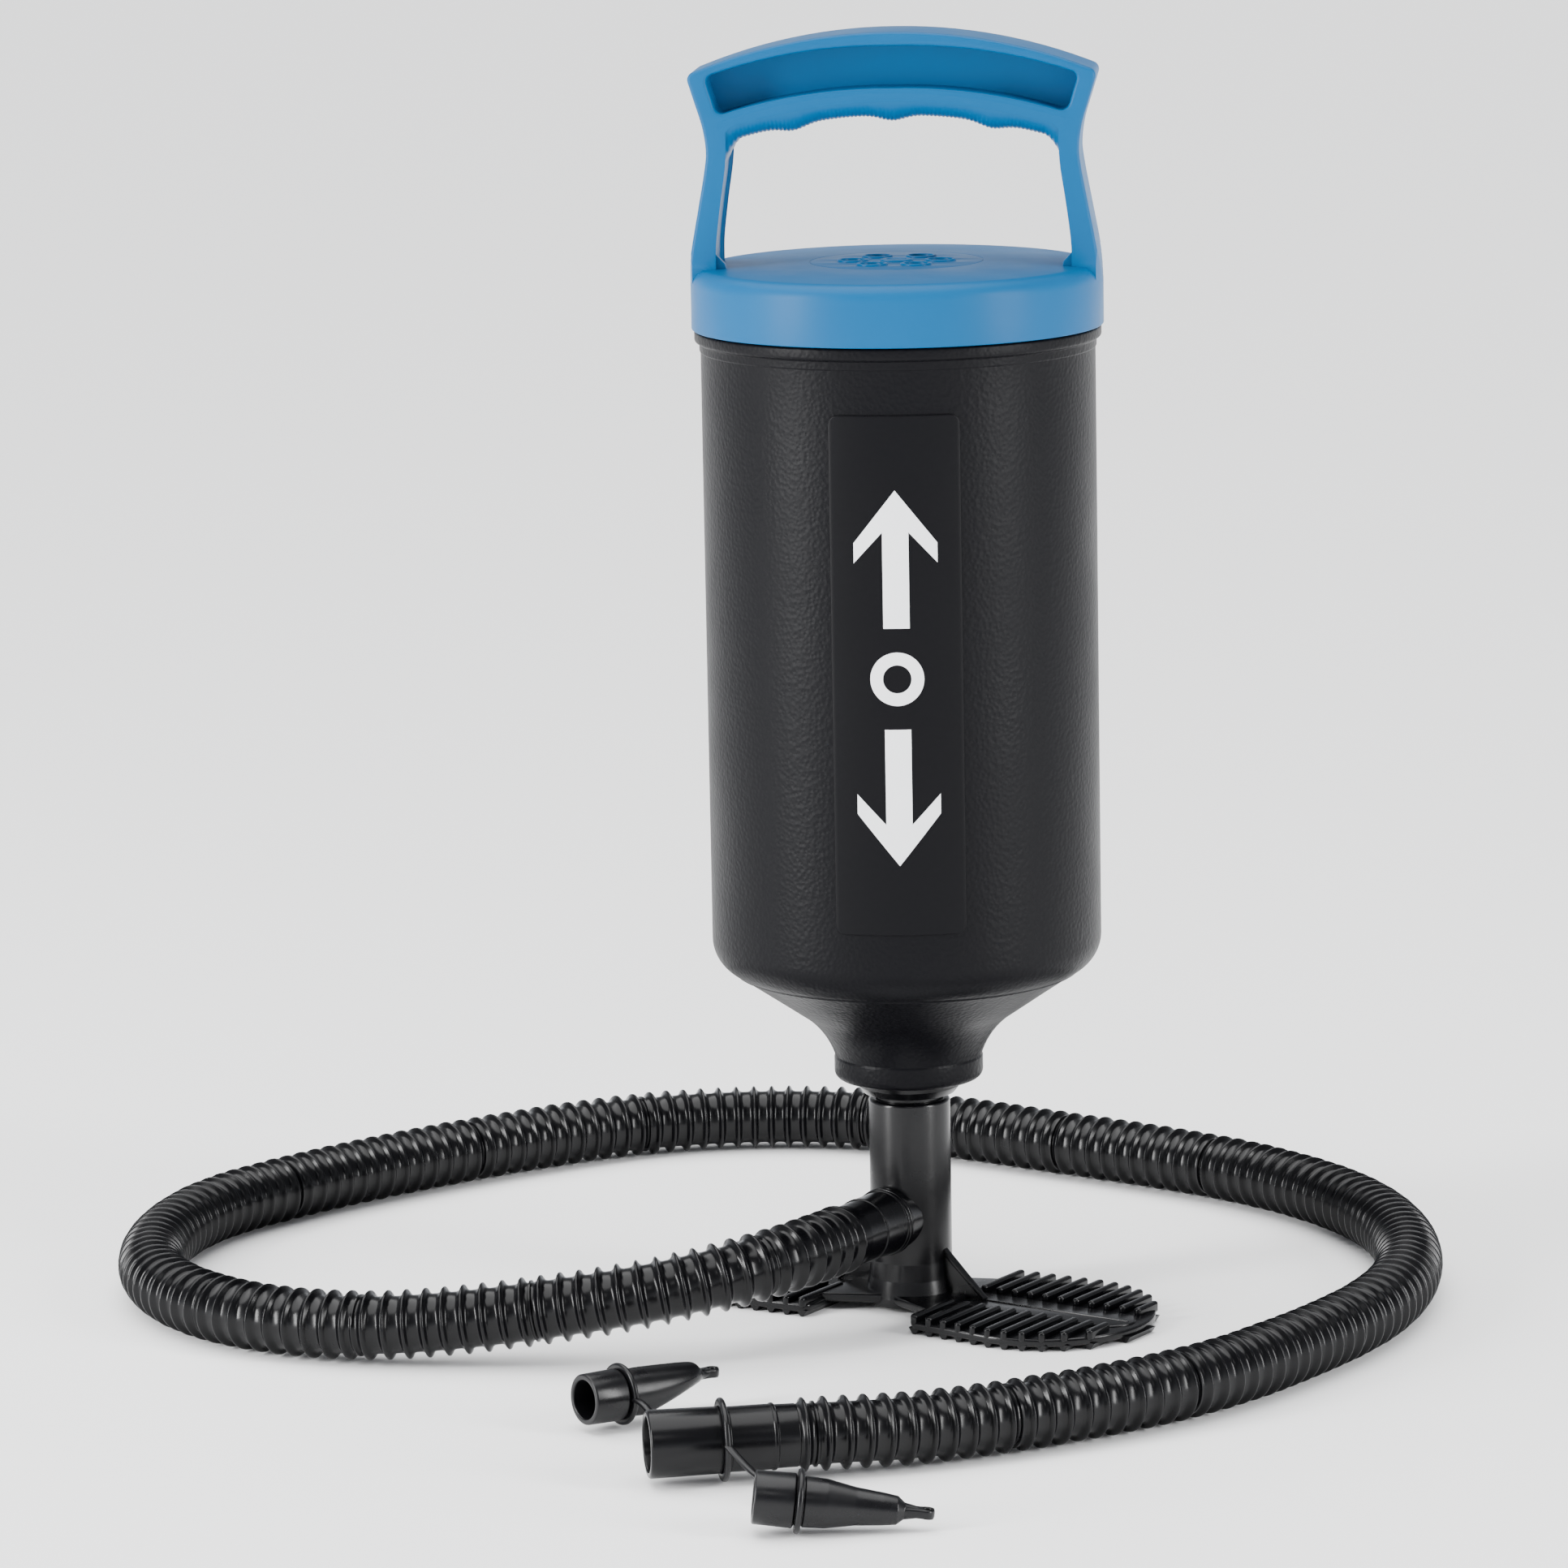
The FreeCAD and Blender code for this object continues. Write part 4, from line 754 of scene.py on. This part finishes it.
def pedal():
    """One pedal: a thin plate with tread ribs, a smooth spine along it and a web up to the post."""
    shape = Shape()
    tip = [(TIP_MIDDLE + TIP_RADIUS * math.sin(angle), -TIP_RADIUS * math.cos(angle))
           for angle in (math.pi * step / 36 for step in range(37))]
    outline = rounded([(17.0, 29.0, 3.0), (17.0, -29.0, 3.0)] + tip)
    shape.add(slab([outline], 1.4, 3.7, 0.6))
    for number in range(12):
        rib = tread(19.0 + TREAD_PITCH * number)
        shape.add((rib.points, rib.faces))
    spine = [(12.0, -7.2, 0.5), (70.0, -7.2, 4.0), (75.0, 0.0, 6.0), (70.0, 7.2, 4.0), (12.0, 7.2, 0.5)]
    shape.add(slab([rounded(spine)], 2.6, 4.15, 0.4))
    shape.add(slab([[(14.0, -0.35), (72.0, -0.35), (72.0, 0.35), (14.0, 0.35)]], 3.9, 4.4, 0.15))
    bridge = [(0.0, -12.0), (19.0, -20.0), (19.0, 20.0), (0.0, 12.0)]
    shape.add(slab([bridge], 2.6, 5.2, 0.5))
    web = [(0.0, 3.0), (24.0, 3.0), (23.6, 4.6), (10.8, 16.4), (0.0, 16.4)]
    shape.add(slab([web], -0.6, 0.6, 0.2), FACE_ON)
    rim = [(24.8, 3.8), (25.0, 4.8), (11.0, 18.2), (10.4, 16.6)]
    shape.add(slab([rim], -1.1, 1.1, 0.4), FACE_ON)
    return shape


def foot():
    """The foot: two pedals bridged to the hollow post, with the boss of the hose port."""
    turn = Matrix.Rotation(math.radians(FOOT_TURN), 4, "Z")
    flip = turn @ Matrix.Rotation(math.pi, 4, "Z")
    side = pedal()
    shape = Shape().add((side.points, side.faces), turn).add((side.points, side.faces), flip)
    shape.add(turned(rounded([
        (8.0, 1.5), (13.4, 1.5, 0.4), (13.2, 4.0, 1.0), (12.2, 9.0, 4.0), (POST_RADIUS, 14.0, 4.0),
        (POST_RADIUS, POST_TOP, 0.9), (9.5, POST_TOP, 0.5), (9.5, 38.0), (8.0, 38.0)], 5), 128))
    boss = rounded([(6.5, 6.0), (9.0, 6.0), (9.0, 12.6, 0.5), (9.7, 13.0, 0.5), (9.7, PORT_FACE, 0.5),
                    (6.5, PORT_FACE)], 4)
    port = axis_place(Vector((0, 0, PORT_HEIGHT)), heading(FOOT_TURN - 90))
    shape.add(turned(boss, 64), port)
    return piece("foot_ribbed", shape, GLOSS, "base", ["foot_base"], sharp=35.0)


# ---------------------------------------------------------------- hose fittings and nozzles

def pump_cuff():
    """The cuff that grips the port: a lip, a smooth sleeve with a step half way, then the first rib."""
    profile = rounded([
        (6.5, 14.5), (9.5, 14.5, 0.3), (9.5, 15.4, 0.4), (9.05, 15.7, 0.2), (8.95, 24.6, 0.4),
        (9.15, 25.0, 0.2), (9.15, 25.6, 0.2), (8.75, 25.9, 0.3), (8.7, 33.0, 0.5), (8.3, PUMP_CUFF_END + 1.0),
        (6.9, PUMP_CUFF_END + 1.0), (6.9, 32.0), (6.5, 32.0)], 3)
    shape = Shape().add(turned(profile, 72), axis_place(Vector((0, 0, PORT_HEIGHT)), heading(FOOT_TURN - 90)))
    return piece("cuff_at_pump", shape, HOSE_BLACK, "base", ["hose_cuff_pump"])


def end_cuff(place):
    """The cuff at the free end, with the seam where it is welded to the hose."""
    profile = rounded([
        (5.8, 4.0), (6.9, 4.0), (6.9, -1.0), (8.3, -1.0, 0.3), (8.35, 4.6, 0.2), (8.85, 5.0, 0.25),
        (8.85, 5.7, 0.25), (8.6, 6.0, 0.2), (8.55, END_CUFF_LENGTH), (5.8, END_CUFF_LENGTH)], 3)
    shape = Shape().add(turned(profile, 72), place)
    return piece("cuff_at_end", shape, HOSE_BLACK, "base", ["hose_cuff_end"])


def connector(place):
    """The connector's sleeve, open at its mouth, with fine ridges that grip a nozzle's plug."""
    mouth = END_CUFF_LENGTH + SLEEVE_LENGTH
    ridges = 36
    profile = rounded([
        (4.4, 5.0), (5.8, 5.0), (5.8, END_CUFF_LENGTH), (8.75, END_CUFF_LENGTH, 0.4), (9.0, mouth, 0.8),
        (7.35, mouth, 0.5), (7.2, mouth - 12.0, 0.3), (6.5, mouth - 12.4, 0.3), (6.5, mouth - 17.0),
        (4.4, mouth - 17.0)], 4)
    shape = Shape().add(turned(profile, 72), place)
    for number in range(ridges):
        section = [(6.95, -0.22), (7.6, -0.3), (7.6, 0.3), (6.95, 0.22)]
        ridge = slab([section], mouth - 9.0, mouth - 1.6, 0.1, 1)
        shape.add(ridge, place @ Matrix.Rotation(2 * math.pi * number / ridges, 4, "Z"))
    return piece("connector_sleeve", shape, HOSE_BLACK, "base", ["hose_connector"])


def tie_ring(inner, outer, wide):
    """A thin round-edged ring of the tether."""
    half, fillet, round_edge = wide / 2, 0.35, wide * 0.45
    return turned(rounded([(inner, -half, fillet), (outer, -half, round_edge), (outer, half, round_edge),
                           (inner, half, fillet)], 4), 64)


def strap(route):
    """A flat strap of the tether along its route."""
    half_wide, half_thick, steps = 1.15, 0.7, 24
    line = line_of(route)
    length = float(np.linalg.norm(np.diff(line, axis=0), axis=1).sum())
    stations = [(length * step / steps, half_wide, half_thick) for step in range(steps + 1)]
    return swept(line, stations, 14)


def tether(end, ahead, places):
    """The tether: a ring on the connector, one on each nozzle, and two flat straps between them."""
    main = end + ahead * (END_CUFF_LENGTH + 1.6)
    shape = Shape().add(tie_ring(8.9, 11.0, 1.6), axis_place(main, ahead))
    centres = []
    for place in places:
        shape.add(tie_ring(6.4, 8.4, 1.5), place @ Matrix.Translation((0, 0, RING_PLACE)))
        centres.append(place @ Vector((0, 0, RING_PLACE)))
    across = Vector((-ahead.y, ahead.x, 0))
    routes = [
        [main + across * 9.9 + UP * 1.0, main + across * 12.0 + Vector((4.0, -3.0, -2.5)),
         main + across * 14.0 + Vector((11.0, -12.0, -5.0)), centres[0] + Vector((-3.0, 9.0, 2.0)),
         centres[0] + Vector((0.4, 5.2, 5.4))],
        [main - across * 9.9, main - across * 12.5 + Vector((-4.0, 6.0, -3.0)),
         centres[1] + Vector((12.0, -17.0, -4.0)), centres[1] + Vector((7.5, -9.0, 0.0)),
         centres[1] + Vector((4.7, -5.7, 0.0))]]
    for route in routes:
        shape.add(strap(route))
    return piece("nozzle_tether_soft", shape, VINYL, "base", ["nozzle_tether"], sharp=50.0)


def eye(length):
    """The flat tab with an eye at a nozzle's tip, and the turn that lays it flat."""
    half_thick = 1.25
    tab = rounded([(length - 9.5, -2.1), (length - 4.6, -1.9, 1.0), (length - 2.3, -2.4, 2.2),
                   (length, 0.0, 2.0), (length - 2.3, 2.4, 2.2), (length - 4.6, 1.9, 1.0),
                   (length - 9.5, 2.1)], 5)
    flat = Matrix(((0, 0, 1, 0), (0, -1, 0, 0), (1, 0, 0, 0), (0, 0, 0, 1)))
    return slab([tab, circle(1.15, length - 2.7, 0.0, 20)], -half_thick, half_thick, 0.6), flat


def plug_profile():
    """The plug that every nozzle has: a wall with a soft lip, and the neck for its ring."""
    return [(6.9, 0.0, 0.5), (7.05, 10.4, 0.5), (6.3, 10.5, 0.2), (6.3, 12.7, 0.2)]


def taper_nozzle(place):
    """The long round nozzle."""
    body = rounded([(5.2, 8.0), (5.3, 0.0, 0.4)] + plug_profile() + [
        (6.55, 13.0, 0.5), (6.3, 18.5, 6.0), (4.9, 26.0, 12.0), (4.2, 33.0, 14.0), (3.7, 36.6, 0.8),
        (2.2, 38.4, 0.8), (1.5, 42.0), (0.0, 42.0)], 4, closed=False)
    bore = [(0.0, 34.0), (2.2, 33.0), (3.8, 20.0), (5.1, 12.0)]
    shape = Shape().add(turned(bore + body, 56, closed=False), place)
    loop, flat = eye(TAPER_LENGTH)
    shape.add(loop, place @ flat)
    return piece("nozzle_taper_long", shape, VINYL, "taper_nozzle", ["nozzle_taper"])


def pinch_nozzle(place):
    """The short nozzle, pressed flat towards its tip."""
    plug = rounded([(5.1, 14.0), (5.3, 0.0, 0.4)] + plug_profile() + [(6.5, 12.9, 0.4), (6.5, 15.0)], 4,
                   closed=False)
    shape = Shape().add(turned([(0.0, 14.0)] + plug, 56, closed=False), place)
    ovals = flowing([
        (15.0, 6.5, 6.5, 0.0), (19.0, 6.4, 6.5, 0.1), (26.0, 5.0, 6.2, 1.2), (31.5, 3.7, 5.4, 2.2),
        (35.0, 2.9, 4.0, 2.6), (36.6, 1.8, 2.8, 2.2), (39.0, 1.2, 2.0, 2.0)], 4)
    around, eye_lift = 56, 2.0
    points = []
    for height, tall, wide, lift in ovals:
        for step in range(around):
            angle = 2 * math.pi * step / around
            points.append((lift + tall * math.cos(angle), wide * math.sin(angle), height))
    shape.add((points, grid_faces(len(ovals), around, last_cap=True)), place)
    loop, flat = eye(PINCH_LENGTH)
    shape.add(loop, place @ Matrix.Translation((eye_lift, 0, 0)) @ flat)
    return piece("nozzle_pinch_flat", shape, VINYL, "pinch_nozzle", ["nozzle_pinch"])


def dress_cad_nodes():
    """Give the inner pieces, which keep their own shapes, the finishes they have."""
    finishes = {
        "rod": GLOSS, "base_plug": GLOSS, "piston_lower": GLOSS, "piston_crown": GLOSS, "rod_guide": SATIN,
        "valve_stud": BLUE, "crown_screws": zinc(), "piston_ring": RUBBER, "cap_gasket": RUBBER,
        "upper_delivery_disc": RUBBER, "lower_delivery_disc": RUBBER, "neck_valve_ring": RUBBER,
        "intake_disc": RUBBER}
    for name, material in finishes.items():
        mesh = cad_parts[name].data
        if not mesh.materials:
            mesh.materials.append(material)
        for index in range(len(mesh.materials)):
            mesh.materials[index] = material


# ---------------------------------------------------------------- the scene

camera()
floor()
room()
lamps()
hose_line = line_of(ROUTE)
end_point, end_way = Vector(ROUTE[-1]), heading(END_TURN)
end_place = axis_place(end_point, end_way)
nozzle_places = [axis_place(TAPER_FACE, heading(TAPER_TURN, TAPER_TILT)),
                 axis_place(PINCH_FACE, heading(PINCH_TURN, PINCH_TILT))]
tube = hose(hose_line)
cuffs = [pump_cuff(), end_cuff(end_place)]
sleeve = connector(end_place)
ties = tether(end_point, end_way, nozzle_places)
nozzles = [taper_nozzle(nozzle_places[0]), pinch_nozzle(nozzle_places[1])]
cap_and_handle()
barrel()
label()
double_action_mark()
gland()
foot()
dress_cad_nodes()
